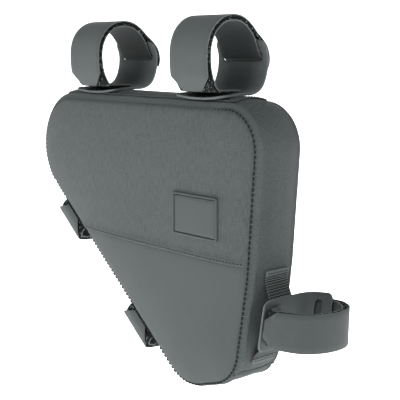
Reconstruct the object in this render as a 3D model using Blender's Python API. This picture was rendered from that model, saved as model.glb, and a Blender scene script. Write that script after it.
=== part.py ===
"""Bicycle frame bag: a padded three-cornered pouch that hangs inside the frame by slotted straps.

+X runs along the top tube towards the seat tube, +Y away from the labelled face and +Z up.
The origin is the point of the top tube's axis midway between the two top straps.
"""
import math
from collections import namedtuple

import bmesh
import bpy
import numpy as np

# Body of the bag, in metres
BAG_LENGTH = 0.3091          # nose to seat side, along the top tube
BAG_HEIGHT = 0.2441          # top seam to the lowest point
BAG_DEPTH = 0.050            # between the two seams
WALL = 0.0030                # padded fabric
PANEL_DOME = 0.0045          # how far the flat of a face stands proud of its seam
DOME_BORDER = 0.030          # rounded border between the seam and that flat
GUSSET_BULGE = 0.0075        # how far the side wall swells beyond the seams
SPLIT_DEPTH = 0.1273         # top seam to the level seam between the two front panels
GAP = 0.0003                 # between pieces that touch

# Where the bag hangs from the top tube
TUBE_TO_TOP = 0.0425         # tube axis to the top seam
NOSE_TO_MOUNT = 0.1612       # nose to the origin, along the tube
TOP_STRAP_SPACING = 0.1554   # between the middles of the two top straps

# Trim
LABEL_WIDTH = 0.0555
LABEL_HEIGHT = 0.0366
LABEL_THICKNESS = 0.0024
LABEL_RIM = 0.0022
LABEL_RECESS = 0.0008
LABEL_CORNER = 0.0012
LABEL_TO_SEAT = 0.0635       # middle of the label to the seat side of the box
LABEL_DROP = 0.0917          # middle of the label below the top seam
PATCH_WIDTH = 0.040
PATCH_THICKNESS = 0.0015
PATCH_FROM_SEAT = 0.030      # ends of the patch, measured along X from the seat side
PATCH_LENGTH = 0.243
ZIP_LENGTH = 0.190
ZIP_TAPE = 0.016
ZIP_THICKNESS = 0.0018
ZIP_COIL = 0.0050
ZIP_COIL_RISE = 0.0012
ZIP_DROP = 0.042             # zip below the top seam
WEBBING_WIDTH = 0.025
WEBBING_THICKNESS = 0.0016
WEBBING_LENGTH = 0.082       # along the seat side
WEBBING_DROP = 0.1700        # middle of the webbing below the top seam
WEBBING_BOW = 0.0115         # how far it stands off the side wall

# Straps
STRAP_THICKNESS = 0.0020
STRAP_PITCH = 0.0027         # from the middle of one layer to the middle of the next
SLOT_LENGTH = 0.0080         # opening in a head, along the strap
SLOT_MARGIN = 0.0010         # slot wider than the band, on each side
HEAD_END = 0.0140            # middle of the slot to the end of the head
LIP_CORNER = 0.0030          # cut of a head's corners
TAIL_TAPER = 0.0125          # length of the cut corners of a band's end
TAIL_CUT = 0.26              # width taken off each side there, as a share of the band

# Corners of the seam line: shares of BAG_LENGTH from the nose and of BAG_HEIGHT from the top seam,
# the radius as a share of BAG_HEIGHT, and the side wall's swell where the corner starts and ends as
# shares of GUSSET_BULGE
Corner = namedtuple("Corner", "along up radius steps swell_in swell_out")
CORNERS = (
    Corner(-0.2938, 0.0030, 0.199, 9, 0.40, 1.00),    # nose, at the head tube
    Corner(1.0081, -0.0060, 0.135, 7, 1.00, 1.00),    # top, at the seat tube
    Corner(0.9774, -0.5510, 1.229, 3, 1.00, 1.00),    # slight bend of the seat side
    Corner(0.9279, -0.9304, 0.156, 6, 0.72, 0.08),    # bottom, at the seat tube
    Corner(0.7163, -1.0213, 0.172, 7, 0.08, 0.30),    # bottom, at the down tube
)
NOSE, SEAT_TOP, SEAT_BEND, SEAT_FOOT, DOWN_FOOT = range(5)
SIDE_STEP = 0.16             # longest step along a straight side, as a share of BAG_HEIGHT

# Section of the side wall: share of half the depth, share of the bulge
Rib = namedtuple("Rib", "across rise")
OUTER_RIBS = (
    Rib(-0.94, 0.26), Rib(-0.78, 0.56), Rib(-0.45, 0.88), Rib(0.0, 1.0),
    Rib(0.45, 0.88), Rib(0.78, 0.56), Rib(0.94, 0.26),
)
INNER_RIBS = (Rib(-0.60, 0.76), Rib(0.0, 1.0), Rib(0.60, 0.76))
DOME_STEPS = (0.10, 0.28, 0.58, 1.0)      # rings of a face, shares of DOME_BORDER

# Bow of the seat webbing: share of its length, share of the bow
Bow = namedtuple("Bow", "along rise")
BOW_ROWS = (
    Bow(0.00, 0.00), Bow(0.09, 0.00), Bow(0.18, 0.28), Bow(0.30, 0.80), Bow(0.40, 1.00),
    Bow(0.68, 1.00), Bow(0.78, 0.74), Bow(0.88, 0.22), Bow(0.94, 0.00), Bow(1.00, 0.00),
)

# Closed line between a head and the band inside it: shares of half the span across the bag and of
# the reach away from it. It starts behind the bag at the slot and goes over the top to the front.
Turn = namedtuple("Turn", "across out")
ROUND_LOOP = (
    Turn(1.00, 0.48), Turn(0.87, 0.67), Turn(0.62, 0.85), Turn(0.28, 0.97), Turn(-0.08, 1.00),
    Turn(-0.45, 0.96), Turn(-0.77, 0.84), Turn(-0.95, 0.67), Turn(-1.00, 0.48), Turn(-0.95, 0.27),
    Turn(-0.82, 0.11), Turn(-0.66, 0.00), Turn(-0.40, 0.00), Turn(0.00, 0.00), Turn(0.40, 0.00),
    Turn(0.76, 0.07), Turn(0.95, 0.25),
)
LONG_LOOP = (
    Turn(1.00, 0.22), Turn(1.01, 0.42), Turn(0.95, 0.62), Turn(0.78, 0.81), Turn(0.42, 0.95),
    Turn(0.00, 1.00), Turn(-0.40, 0.97), Turn(-0.75, 0.87), Turn(-0.96, 0.72), Turn(-1.01, 0.50),
    Turn(-0.99, 0.28), Turn(-0.94, 0.10), Turn(-0.76, 0.00), Turn(-0.40, 0.00), Turn(0.00, 0.00),
    Turn(0.40, 0.00), Turn(0.76, 0.02), Turn(0.94, 0.10),
)
FLAT_LOOP = (
    Turn(1.00, 0.44), Turn(0.98, 0.74), Turn(0.82, 0.96), Turn(0.42, 1.03), Turn(0.00, 1.04),
    Turn(-0.30, 1.04), Turn(-0.58, 1.01), Turn(-0.84, 0.90), Turn(-0.98, 0.66), Turn(-1.00, 0.38),
    Turn(-0.92, 0.10), Turn(-0.72, 0.00), Turn(-0.40, 0.00), Turn(0.00, 0.00), Turn(0.40, 0.00),
    Turn(0.78, 0.04), Turn(0.96, 0.18),
)

# Routes of a band. Near the slot a row gives its place in slot lengths from the slot's middle, and
# elsewhere as a share of the whole loop; layer counts strap pitches outward from the loop line.
Step = namedtuple("Step", "unit place layer")
INNER_ROUTE = (
    Step("loop", 0.775, -0.5), Step("loop", 0.700, -0.5), Step("loop", 0.600, -0.5),
    Step("loop", 0.500, -0.5), Step("loop", 0.400, -0.5), Step("loop", 0.300, -0.5),
)
THREADED_FOLD = (
    Step("slot", 2.60, -0.5), Step("slot", 1.60, -0.55), Step("slot", 0.85, -0.55),
    Step("slot", 0.20, -0.2), Step("slot", -0.12, 0.70), Step("slot", -0.42, 1.55),
    Step("slot", -0.90, 2.10), Step("slot", -1.10, 2.90), Step("slot", -0.80, 3.50),
    Step("slot", -0.10, 3.60), Step("slot", 0.65, 3.20), Step("slot", 1.35, 2.4),
    Step("slot", 2.10, 1.45), Step("slot", 3.10, 0.85),
)
CLOSE_FOLD = (
    Step("slot", 2.60, -0.5), Step("slot", 1.60, -0.55), Step("slot", 0.85, -0.55),
    Step("slot", 0.28, -0.2), Step("slot", 0.02, 0.70), Step("slot", -0.15, 1.55),
    Step("slot", -0.15, 2.50), Step("slot", 0.20, 3.10), Step("slot", 0.80, 3.05),
    Step("slot", 1.45, 2.5), Step("slot", 2.20, 1.8), Step("slot", 3.10, 1.2),
)
PASSING_FOLD = (
    Step("slot", 3.80, -0.4), Step("slot", 3.00, 0.3), Step("slot", 2.30, 1.3),
    Step("slot", 1.40, 1.6), Step("slot", 0.30, 1.6), Step("slot", -0.50, 1.75),
    Step("slot", -0.95, 2.60), Step("slot", -0.55, 3.60), Step("slot", 0.40, 3.65),
    Step("slot", 1.50, 3.1), Step("slot", 2.50, 2.6), Step("slot", 3.60, 1.5),
)
OUTER_ROUTE = (
    Step("loop", 0.300, 0.75), Step("loop", 0.400, 0.75), Step("loop", 0.500, 0.65),
)
TAIL_LIFT = 0.045            # length over which a band's end leaves the band below, as a loop share

# Straps: band and head widths, span of the loop line across the bag, its reach away from the bag, the
# shift of its middle along +Y, the y and the sag of the head's front end, the loop share and layer at
# the band's end, and the rise and lean of the loop's far end along and about the strap's width
Strap = namedtuple("Strap", "name band head span reach shift lip sag tail_end tail_layer loop fold rise lean")
TOP_RIGHT = Strap("strap_top_right", 0.0476, 0.0612, 0.0586, 0.0612, -0.0027, -0.0245, 0.0012, 0.625, 1.5,
                  ROUND_LOOP, THREADED_FOLD, 0.0, 0.0)
TOP_LEFT = Strap("strap_top_left", 0.0476, 0.0612, 0.0600, 0.0590, 0.0010, -0.0220, 0.0012, 0.620, 1.5,
                 ROUND_LOOP, THREADED_FOLD, 0.0, 0.0)
SEAT = Strap("strap_seat", 0.0310, 0.0450, 0.0500, 0.0545, 0.0000, -0.0250, 0.0, 0.677, 1.1,
             LONG_LOOP, PASSING_FOLD, 0.0150, 8.0)
DOWN_UPPER = Strap("strap_down_upper", 0.0420, 0.0540, 0.0420, 0.0185, 0.0000, -0.0165, 0.0, 0.575, 0.9,
                   FLAT_LOOP, CLOSE_FOLD, 0.0, 0.0)
DOWN_LOWER = DOWN_UPPER._replace(name="strap_down_lower")
HEAD_START = 0.775           # where a head leaves the loop line for its lip, as a share of the loop
HEAD_STEPS = 12              # rings of a head between there and its slot
DOWN_UPPER_PLACE = 0.165     # middles of the two lower straps, as shares of the down-tube side
DOWN_LOWER_PLACE = 0.755

# Finishes: colour, roughness
Finish = namedtuple("Finish", "colour roughness")
WOVEN = Finish((0.125, 0.142, 0.139, 1.0), 0.85)
SMOOTH = Finish((0.135, 0.152, 0.149, 1.0), 0.80)
SIDE = Finish((0.095, 0.109, 0.107, 1.0), 0.88)
RUBBER = Finish((0.120, 0.137, 0.134, 1.0), 0.60)
STRAP = Finish((0.140, 0.158, 0.155, 1.0), 0.80)
RIBBED = Finish((0.070, 0.082, 0.080, 1.0), 0.75)

HALF_DEPTH = BAG_DEPTH / 2
MITRE = GAP / math.sqrt(2)
CURVE_STEPS = 5              # samples between two rows of a strap's route

Station = namedtuple("Station", "run point normal swell")


def unit(vector):
    """Return a vector at length one."""
    vector = np.asarray(vector, float)
    return vector / np.linalg.norm(vector)


def corner_point(corner):
    """Return where a corner of the seam line lies, as (x, z)."""
    return np.array([corner.along * BAG_LENGTH - NOSE_TO_MOUNT, corner.up * BAG_HEIGHT - TUBE_TO_TOP])


def corner_arc(index):
    """Return the points, outward normals and swells of one rounded corner."""
    here = CORNERS[index]
    before, at, after = (corner_point(CORNERS[(index + k) % len(CORNERS)]) for k in (-1, 0, 1))
    back, ahead = unit(before - at), unit(after - at)
    half = math.acos(float(back @ ahead)) / 2
    radius = here.radius * BAG_HEIGHT
    centre = at + unit(back + ahead) * radius / math.sin(half)
    start = unit(at + back * radius / math.tan(half) - centre)
    sweep = math.pi - 2 * half
    first = math.atan2(start[1], start[0])
    rows = []
    for step in range(here.steps + 1):
        share = step / here.steps
        angle = first - sweep * share
        normal = np.array([math.cos(angle), math.sin(angle)])
        swell = here.swell_in + (here.swell_out - here.swell_in) * share
        rows.append((centre + normal * radius, normal, swell * GUSSET_BULGE))
    return rows


def side_steps(start, end):
    """Return the points between the end of one corner's arc and the start of the next."""
    count = max(1, math.ceil(np.linalg.norm(end[0] - start[0]) / (SIDE_STEP * BAG_HEIGHT)))
    shares = [k / count for k in range(1, count)]
    return [(start[0] + (end[0] - start[0]) * k, start[1], start[2] + (end[2] - start[2]) * k)
            for k in shares]


def seam_line():
    """Return the closed seam line as stations, clockwise from the nose, and its length."""
    rows = []
    for index in range(len(CORNERS)):
        arc = corner_arc(index)
        rows += arc + side_steps(arc[-1], corner_arc((index + 1) % len(CORNERS))[0])
    stations, run = [], 0.0
    for k, (point, normal, swell) in enumerate(rows):
        if k:
            run += float(np.linalg.norm(point - rows[k - 1][0]))
        stations.append(Station(run, point, normal, swell))
    total = run + float(np.linalg.norm(rows[0][0] - rows[-1][0]))
    return stations, total


SEAM, SEAM_LENGTH = seam_line()


def corner_run(index, end):
    """Return how far along the seam line a corner's arc starts (end 0) or finishes (end 1)."""
    point = corner_arc(index)[-end][0]
    return min(SEAM, key=lambda s: float(np.linalg.norm(s.point - point))).run


def station_at(run):
    """Return the station at a run along the seam line, between its neighbours."""
    run %= SEAM_LENGTH
    runs = [s.run for s in SEAM] + [SEAM_LENGTH]
    rows = [(*s.point, *s.normal, s.swell) for s in SEAM + SEAM[:1]]
    x, z, across, up, swell = (float(np.interp(run, runs, column)) for column in zip(*rows))
    return Station(run, np.array([x, z]), np.array([across, up]), swell)


def stretch(start, end):
    """Return the stations from one run to another, clockwise, with both ends."""
    end = start + (end - start) % SEAM_LENGTH
    inside = [(s.run - start) % SEAM_LENGTH + start for s in SEAM]
    middle = sorted(r for r in inside if start + GAP < r < end - GAP)
    return [station_at(r) for r in [start] + middle + [end]]


def run_at_x(x):
    """Return the run of the top side at an x."""
    top = [s for s in SEAM if s.run <= corner_run(SEAT_TOP, 1)]
    return float(np.interp(x, [s.point[0] for s in top], [s.run for s in top]))


def run_at_z(z):
    """Return the run of the seat side at a z."""
    side = [s for s in SEAM if corner_run(SEAT_TOP, 1) <= s.run <= corner_run(SEAT_FOOT, 1)]
    return float(np.interp(-z, [-s.point[1] for s in side], [s.run for s in side]))


def wall_share(y):
    """Return the share of its swell that the outside of the side wall has at a y."""
    ys = [-HALF_DEPTH + MITRE] + [r.across * HALF_DEPTH for r in OUTER_RIBS] + [HALF_DEPTH - MITRE]
    return float(np.interp(y, ys, [0.0] + [r.rise for r in OUTER_RIBS] + [0.0]))


def place(station, out, y):
    """Return the point at a distance outside the seam line and at a y."""
    x, z = station.point + station.normal * out
    return (x, y, z)


def finish_object(name, mesh_builder, finish):
    """Make an object from a filled bmesh, with its own material."""
    bmesh.ops.recalc_face_normals(mesh_builder, faces=mesh_builder.faces)
    bmesh.ops.triangulate(mesh_builder, faces=[f for f in mesh_builder.faces if len(f.verts) > 4])
    mesh = bpy.data.meshes.new(name)
    mesh_builder.to_mesh(mesh)
    mesh_builder.free()
    mesh.shade_smooth()
    mesh.set_sharp_from_angle(angle=math.radians(40))
    material = bpy.data.materials.new(name)
    material.use_nodes = True
    shader = material.node_tree.nodes["Principled BSDF"]
    shader.inputs["Base Color"].default_value = finish.colour
    shader.inputs["Roughness"].default_value = finish.roughness
    shader.inputs["Metallic"].default_value = 0.0
    mesh.materials.append(material)
    piece = bpy.data.objects.new(name, mesh)
    bpy.context.scene.collection.objects.link(piece)
    return piece


def loft(rings):
    """Return a bmesh that joins closed rings of equal length, capped at both ends."""
    bm = bmesh.new()
    rows = [[bm.verts.new(p) for p in ring] for ring in rings]
    for one, two in zip(rows, rows[1:]):
        for k in range(len(one)):
            j = (k + 1) % len(one)
            bm.faces.new((one[k], one[j], two[j], two[k]))
    bm.faces.new(rows[0])
    bm.faces.new(rows[-1])
    return bm


def dome(inset):
    """Return how far a face stands proud of its seam at an inset from the seam."""
    share = min(inset / DOME_BORDER, 1.0)
    return PANEL_DOME * (1 - (1 - share) ** 2)


def face_plate(side):
    """Return a bmesh of a whole domed face, on the side of -Y (-1) or of +Y (1)."""
    outer = [(MITRE, HALF_DEPTH)]
    outer += [(s * DOME_BORDER, HALF_DEPTH + dome(s * DOME_BORDER)) for s in DOME_STEPS]
    inner = [(inset, y - WALL) for inset, y in outer if inset > 2 * WALL]
    inner.insert(0, (WALL + MITRE, HALF_DEPTH - WALL))
    profile = outer[::-1] + inner
    return loft([[place(s, -inset, side * y) for s in SEAM] for inset, y in profile])


def cut_level(bm, z, keep_above):
    """Cut a bmesh at a height, close the cut and keep one half."""
    cut = bmesh.ops.bisect_plane(
        bm, geom=bm.verts[:] + bm.edges[:] + bm.faces[:], dist=1e-7, plane_co=(0, 0, z),
        plane_no=(0, 0, 1), clear_inner=keep_above, clear_outer=not keep_above)
    edges = [e for e in cut["geom_cut"] if isinstance(e, bmesh.types.BMEdge)]
    bmesh.ops.edgeloop_fill(bm, edges=edges)
    return bm


def make_front():
    """Make the two front panels, which meet at a level seam."""
    seam = -TUBE_TO_TOP - SPLIT_DEPTH
    upper = cut_level(face_plate(-1), seam + GAP / 2, True)
    finish_object("front_upper_panel", upper, WOVEN)
    lower = cut_level(face_plate(-1), seam - GAP / 2, False)
    finish_object("front_lower_panel", lower, SMOOTH)


def rounded_rectangle(width, height, corner):
    """Return the points of a rectangle with rounded corners, as (x, z) about its middle."""
    points = []
    for quarter in range(4):
        middle = (quarter + 0.5) * math.pi / 2
        cx = math.copysign(width / 2 - corner, math.cos(middle))
        cz = math.copysign(height / 2 - corner, math.sin(middle))
        for step in range(3):
            angle = (quarter + step / 2) * math.pi / 2
            points.append((cx + corner * math.cos(angle), cz + corner * math.sin(angle)))
    return points


def make_label():
    """Make the moulded patch: a plate with a raised rim round a bare field."""
    x0 = BAG_LENGTH - NOSE_TO_MOUNT - LABEL_TO_SEAT
    z0 = -TUBE_TO_TOP - LABEL_DROP
    y0 = -HALF_DEPTH - PANEL_DOME - GAP
    inner = (LABEL_WIDTH - 2 * LABEL_RIM, LABEL_HEIGHT - 2 * LABEL_RIM)
    rows = (
        (LABEL_WIDTH, LABEL_HEIGHT, 0.0),
        (LABEL_WIDTH, LABEL_HEIGHT, LABEL_THICKNESS),
        (*inner, LABEL_THICKNESS),
        (*inner, LABEL_THICKNESS - LABEL_RECESS),
    )
    rings = [
        [(x0 + x, y0 - rise, z0 + z) for x, z in rounded_rectangle(width, height, LABEL_CORNER)]
        for width, height, rise in rows
    ]
    finish_object("label_patch", loft(rings), RUBBER)


def make_gusset(name, start, end):
    """Make a padded side wall between two runs of the seam line."""
    profile = [(0.0, 0.0, -HALF_DEPTH + MITRE)]
    profile += [(r.rise, 0.0, r.across * HALF_DEPTH) for r in OUTER_RIBS]
    profile += [(0.0, 0.0, HALF_DEPTH - MITRE), (0.0, -WALL, HALF_DEPTH - WALL - MITRE)]
    profile += [(r.rise, -WALL, r.across * HALF_DEPTH) for r in INNER_RIBS[::-1]]
    profile.append((0.0, -WALL, -HALF_DEPTH + WALL + MITRE))
    stations = stretch(start + GAP / 2, end - GAP / 2)
    rings = [[place(s, share * s.swell + out, y) for share, out, y in profile] for s in stations]
    finish_object(name, loft(rings), SIDE)


def make_gussets():
    """Make the side wall's two lengths, which meet at the nose and at the foot of the seat side."""
    nose = (corner_run(NOSE, 0) + corner_run(NOSE, 1)) / 2
    foot = corner_run(SEAT_FOOT, 0) * 0.55 + corner_run(SEAT_FOOT, 1) * 0.45
    make_gusset("gusset_top_seat", nose, foot)
    make_gusset("gusset_lower", foot, nose)


def box_cutter(name, size, centre):
    """Return a hidden box to cut with."""
    bm = bmesh.new()
    bmesh.ops.create_cube(bm, size=1.0)
    for vert in bm.verts:
        vert.co = [c + v * s for c, v, s in zip(centre, vert.co, size)]
    cutter = finish_object(name, bm, RUBBER)
    cutter.hide_render = True
    cutter.display_type = "WIRE"
    return cutter


def make_back():
    """Make the hidden face with its plain closed zip."""
    back = finish_object("back_panel", face_plate(1), SIDE)
    flat = HALF_DEPTH + PANEL_DOME
    z = -TUBE_TO_TOP - ZIP_DROP
    size = (ZIP_LENGTH + 2 * GAP, 4 * WALL, ZIP_TAPE + 2 * GAP)
    cutter = box_cutter("zip_opening", size, (0.0, flat - WALL / 2, z))
    opening = back.modifiers.new("zip_opening", "BOOLEAN")
    opening.operation = "DIFFERENCE"
    opening.object = cutter
    tape, coil = ZIP_TAPE / 2, ZIP_COIL / 2
    section = (
        (-tape, 0.0), (-tape, ZIP_THICKNESS), (-coil, ZIP_THICKNESS),
        (-coil / 2, ZIP_THICKNESS + ZIP_COIL_RISE), (coil / 2, ZIP_THICKNESS + ZIP_COIL_RISE),
        (coil, ZIP_THICKNESS), (tape, ZIP_THICKNESS), (tape, 0.0),
    )
    foot = flat - WALL / 2 - ZIP_THICKNESS / 2
    rings = [[(x, foot + rise, z + up) for up, rise in section] for x in (-ZIP_LENGTH / 2, ZIP_LENGTH / 2)]
    finish_object("back_zip", loft(rings), RUBBER)


def make_patch():
    """Make the strip sewn on the top wall under the two top straps."""
    seat = BAG_LENGTH - NOSE_TO_MOUNT
    stations = stretch(run_at_x(seat - PATCH_FROM_SEAT - PATCH_LENGTH), run_at_x(seat - PATCH_FROM_SEAT))
    edge = PATCH_WIDTH / 2
    ys = [-edge] + [r.across * HALF_DEPTH for r in OUTER_RIBS if abs(r.across * HALF_DEPTH) < edge] + [edge]
    profile = [(GAP, y) for y in ys] + [(GAP + PATCH_THICKNESS, y) for y in ys[::-1]]
    rings = [[place(s, wall_share(y) * s.swell + out, y) for out, y in profile] for s in stations]
    finish_object("top_patch", loft(rings), SIDE)


def webbing_middle():
    """Return the station behind the middle of the seat webbing."""
    return station_at(run_at_z(-TUBE_TO_TOP - WEBBING_DROP))


def make_webbing():
    """Make the webbing that stands off the seat side and carries the seat strap."""
    first = webbing_middle().run - WEBBING_LENGTH / 2
    curve = smooth([(b.along, b.rise) for b in BOW_ROWS], False)
    half = WEBBING_WIDTH / 2
    rings = []
    for along, rise in curve:
        station = station_at(first + min(max(along, 0.0), 1.0) * WEBBING_LENGTH)
        low = station.swell + GAP + min(max(rise, 0.0), 1.0) * WEBBING_BOW
        high = low + WEBBING_THICKNESS
        rings.append([place(station, low, -half), place(station, low, half),
                      place(station, high, half), place(station, high, -half)])
    finish_object("seat_webbing", loft(rings), RIBBED)


def smooth(points, closed):
    """Return a smooth curve through points, sampled CURVE_STEPS times between two of them."""
    points = [np.asarray(p, float) for p in points]
    count = len(points)
    spans = count if closed else count - 1
    curve = []
    for k in range(spans):
        if closed:
            a, b, c, d = (points[(k + j) % count] for j in (-1, 0, 1, 2))
        else:
            b, c = points[k], points[k + 1]
            a = points[k - 1] if k else 2 * b - c
            d = points[k + 2] if k + 2 < count else 2 * c - b
        for step in range(CURVE_STEPS):
            t = step / CURVE_STEPS
            curve.append(0.5 * (2 * b + (c - a) * t + (2 * a - 5 * b + 4 * c - d) * t ** 2
                                + (3 * b - 3 * c + d - a) * t ** 3))
    if not closed:
        curve.append(points[-1])
    return curve


class LoopLine:
    """The closed line between a head and the band inside it, as (y, out) by length from the slot."""

    def __init__(self, strap):
        base = STRAP_THICKNESS + GAP + (STRAP_PITCH - STRAP_THICKNESS) / 2
        rows = [(strap.shift + t.across * strap.span / 2, base + t.out * strap.reach) for t in strap.loop]
        self.points = [np.array([y, max(out, base)]) for y, out in smooth(rows, True)]
        closed = self.points + self.points[:1]
        steps = [float(np.linalg.norm(b - a)) for a, b in zip(closed, closed[1:])]
        self.runs = np.concatenate([[0.0], np.cumsum(steps)])
        self.length = float(self.runs[-1])

    def at(self, run):
        """Return the point of the line at a run."""
        closed = np.array(self.points + self.points[:1])
        run %= self.length
        return np.array([np.interp(run, self.runs, closed[:, k]) for k in (0, 1)])

    def offset(self, run, layer):
        """Return the point a number of strap pitches outside the line at a run."""
        step = self.length / 100
        along = unit(self.at(run + step) - self.at(run - step))
        outward = np.array([along[1], -along[0]])
        return self.at(run) + outward * layer * STRAP_PITCH

    def route(self, steps):
        """Return the path of a band whose rows name places along the line and layers off it."""
        scales = {"slot": SLOT_LENGTH, "loop": self.length}
        rows = [(step.place * scales[step.unit], step.layer * STRAP_PITCH) for step in steps]
        return [self.offset(run, out / STRAP_PITCH) for run, out in smooth(rows, False)]


def strip_rings(path, widths, lift):
    """Return rectangular rings of a strip along a path of (y, out), with its middle lifted."""
    rings = []
    for k, (point, width) in enumerate(zip(path, widths)):
        ahead = path[min(k + 1, len(path) - 1)] - path[max(k - 1, 0)]
        side = unit([ahead[1], -ahead[0]]) * STRAP_THICKNESS / 2
        inner, outer = point - side, point + side
        half = width / 2
        rings.append([lift(inner, -half), lift(inner, half), lift(outer, half), lift(outer, -half)])
    return rings


def make_band(strap, line, lift):
    """Make a band: along the inside, round its fold and back over itself to a tapered end."""
    before_lift = OUTER_ROUTE[-1].layer
    tail = (Step("loop", strap.tail_end - TAIL_LIFT, (before_lift + strap.tail_layer) / 2),
            Step("loop", strap.tail_end, strap.tail_layer))
    path = line.route(INNER_ROUTE + strap.fold + OUTER_ROUTE + tail)
    runs = np.concatenate([[0.0], np.cumsum([np.linalg.norm(b - a) for a, b in zip(path, path[1:])])])
    taper = np.clip((runs - runs[-1] + TAIL_TAPER) / TAIL_TAPER, 0.0, 1.0)
    widths = strap.band * (1 - 2 * TAIL_CUT * taper)
    finish_object(strap.name + "_band", loft(strip_rings(path, widths, lift)), STRAP)


def slotted_strip(rings, slot, first, last):
    """Return a bmesh of a strip whose middle is open between two of its rings."""
    bm = bmesh.new()
    rows = []
    for inner_left, inner_right, outer_right, outer_left in (map(np.array, r) for r in rings):
        row = []
        for left, right in ((inner_left, inner_right), (outer_left, outer_right)):
            middle, across = (left + right) / 2, unit(right - left) * slot / 2
            row += [left, middle - across, middle + across, right]
        rows.append([bm.verts.new(p) for p in row])
    for k, (one, two) in enumerate(zip(rows, rows[1:])):
        for side in (0, 4):
            for column in (0, 1, 2):
                if column == 1 and first <= k < last:
                    continue
                a = side + column
                bm.faces.new((one[a], one[a + 1], two[a + 1], two[a]))
        edges = ((0, 4), (3, 7)) + (((1, 5), (2, 6)) if first <= k < last else ())
        for a, b in edges:
            bm.faces.new((one[a], two[a], two[b], one[b]))
    for row in (rows[0], rows[-1]):
        for a in (0, 1, 2):
            bm.faces.new((row[a], row[a + 1], row[a + 5], row[a + 4]))
    for row in (rows[first], rows[last]):
        bm.faces.new((row[1], row[2], row[6], row[5]))
    return bm


def make_head(strap, line, lift):
    """Make a head: from its free lip along the bag and up behind, past its slot."""
    half_slot = SLOT_LENGTH / 2
    start = (HEAD_START - 1) * line.length
    before = [start + (-half_slot - start) * k / HEAD_STEPS for k in range(HEAD_STEPS + 1)]
    after = [half_slot, (half_slot + HEAD_END) / 2, HEAD_END - LIP_CORNER, HEAD_END]
    path = [line.offset(run, 0.5) for run in before + [0.0] + after]
    lip = np.array([strap.lip, path[0][1] - strap.sag])
    path = [lip, lip + unit(path[0] - lip) * LIP_CORNER] + path
    widths = [strap.head] * len(path)
    widths[0] = widths[-1] = strap.head - 2 * LIP_CORNER
    first = 2 + HEAD_STEPS
    slot = strap.band + 2 * SLOT_MARGIN
    bm = slotted_strip(strip_rings(path, widths, lift), slot, first, first + 2)
    finish_object(strap.name + "_head", bm, STRAP)


def make_strap(strap, base, out, across_up):
    """Make one strap on a base point, with its outward direction and its width's direction."""
    base, out, across_up = (np.asarray(v, float) for v in (base, out, across_up))
    line = LoopLine(strap)

    def lift(point, width):
        y, far = point
        share = max(far, 0.0) / strap.reach
        lean = math.radians(strap.lean) * min(share, 1.0)
        up = across_up * math.cos(lean) - out * math.sin(lean)
        x, z = base + out * far + across_up * strap.rise * share + up * width
        return (x, y, z)

    make_head(strap, line, lift)
    make_band(strap, line, lift)


def make_straps():
    """Make the five straps, each on what carries it."""
    for strap, side in ((TOP_LEFT, -0.5), (TOP_RIGHT, 0.5)):
        station = station_at(run_at_x(side * TOP_STRAP_SPACING))
        base = station.point + station.normal * (station.swell + GAP + PATCH_THICKNESS)
        make_strap(strap, base, station.normal, (station.normal[1], -station.normal[0]))
    station = webbing_middle()
    base = station.point + station.normal * (station.swell + 2 * GAP + WEBBING_BOW + WEBBING_THICKNESS)
    make_strap(SEAT, base, station.normal, (-station.normal[1], station.normal[0]))
    low, high = corner_run(DOWN_FOOT, 1), SEAM_LENGTH
    for strap, share in ((DOWN_UPPER, DOWN_UPPER_PLACE), (DOWN_LOWER, DOWN_LOWER_PLACE)):
        station = station_at(high + (low - high) * share)
        base = station.point + station.normal * station.swell
        make_strap(strap, base, station.normal, (-station.normal[1], station.normal[0]))


def main():
    """Clear the scene and make the bag."""
    for old in list(bpy.data.objects):
        bpy.data.objects.remove(old)
    make_front()
    make_label()
    make_gussets()
    make_back()
    make_patch()
    make_webbing()
    make_straps()


main()
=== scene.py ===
"""Dressed look of a padded bicycle frame bag: cloth, seams, straps, webbing and stage."""
import math
from collections import namedtuple
from functools import lru_cache

import bmesh
import bpy
import numpy as np
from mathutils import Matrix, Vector, noise
from mathutils.geometry import delaunay_2d_cdt
from mathutils.kdtree import KDTree


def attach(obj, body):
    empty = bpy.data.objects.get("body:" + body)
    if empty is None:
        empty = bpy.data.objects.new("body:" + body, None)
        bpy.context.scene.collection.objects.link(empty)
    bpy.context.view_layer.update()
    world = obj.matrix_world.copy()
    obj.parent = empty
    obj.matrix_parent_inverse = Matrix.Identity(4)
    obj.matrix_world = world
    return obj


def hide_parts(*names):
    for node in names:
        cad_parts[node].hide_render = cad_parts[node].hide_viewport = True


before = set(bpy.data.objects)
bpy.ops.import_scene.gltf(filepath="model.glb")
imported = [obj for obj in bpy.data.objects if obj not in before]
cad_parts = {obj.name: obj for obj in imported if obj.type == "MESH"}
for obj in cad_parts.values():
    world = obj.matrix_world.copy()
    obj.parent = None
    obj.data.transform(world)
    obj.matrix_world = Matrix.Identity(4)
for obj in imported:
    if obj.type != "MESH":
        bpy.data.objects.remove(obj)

bl_info = {
    "name": "Bicycle Frame Bag",
    "version": (1, 0, 0),
    "blender": (4, 5, 0),
    "location": "3D View > Sidebar > Frame Bag",
    "description": "Builds a padded frame bag with its seams, straps and webbing",
    "category": "Add Mesh",
}

MM = 0.001
TAU = 2 * math.pi

# Body, as in the part
BAG_LENGTH = 0.3091
BAG_HEIGHT = 0.2441
HALF_DEPTH = 0.0250
PANEL_DOME = 0.0045
DOME_BORDER = 0.030
GUSSET_BULGE = 0.0075
SPLIT_DEPTH = 0.1273
TUBE_TO_TOP = 0.0425
NOSE_TO_MOUNT = 0.1612
TOP_STRAP_SPACING = 0.1554
SEAT_SIDE = BAG_LENGTH - NOSE_TO_MOUNT
SPLIT = -TUBE_TO_TOP - SPLIT_DEPTH

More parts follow.
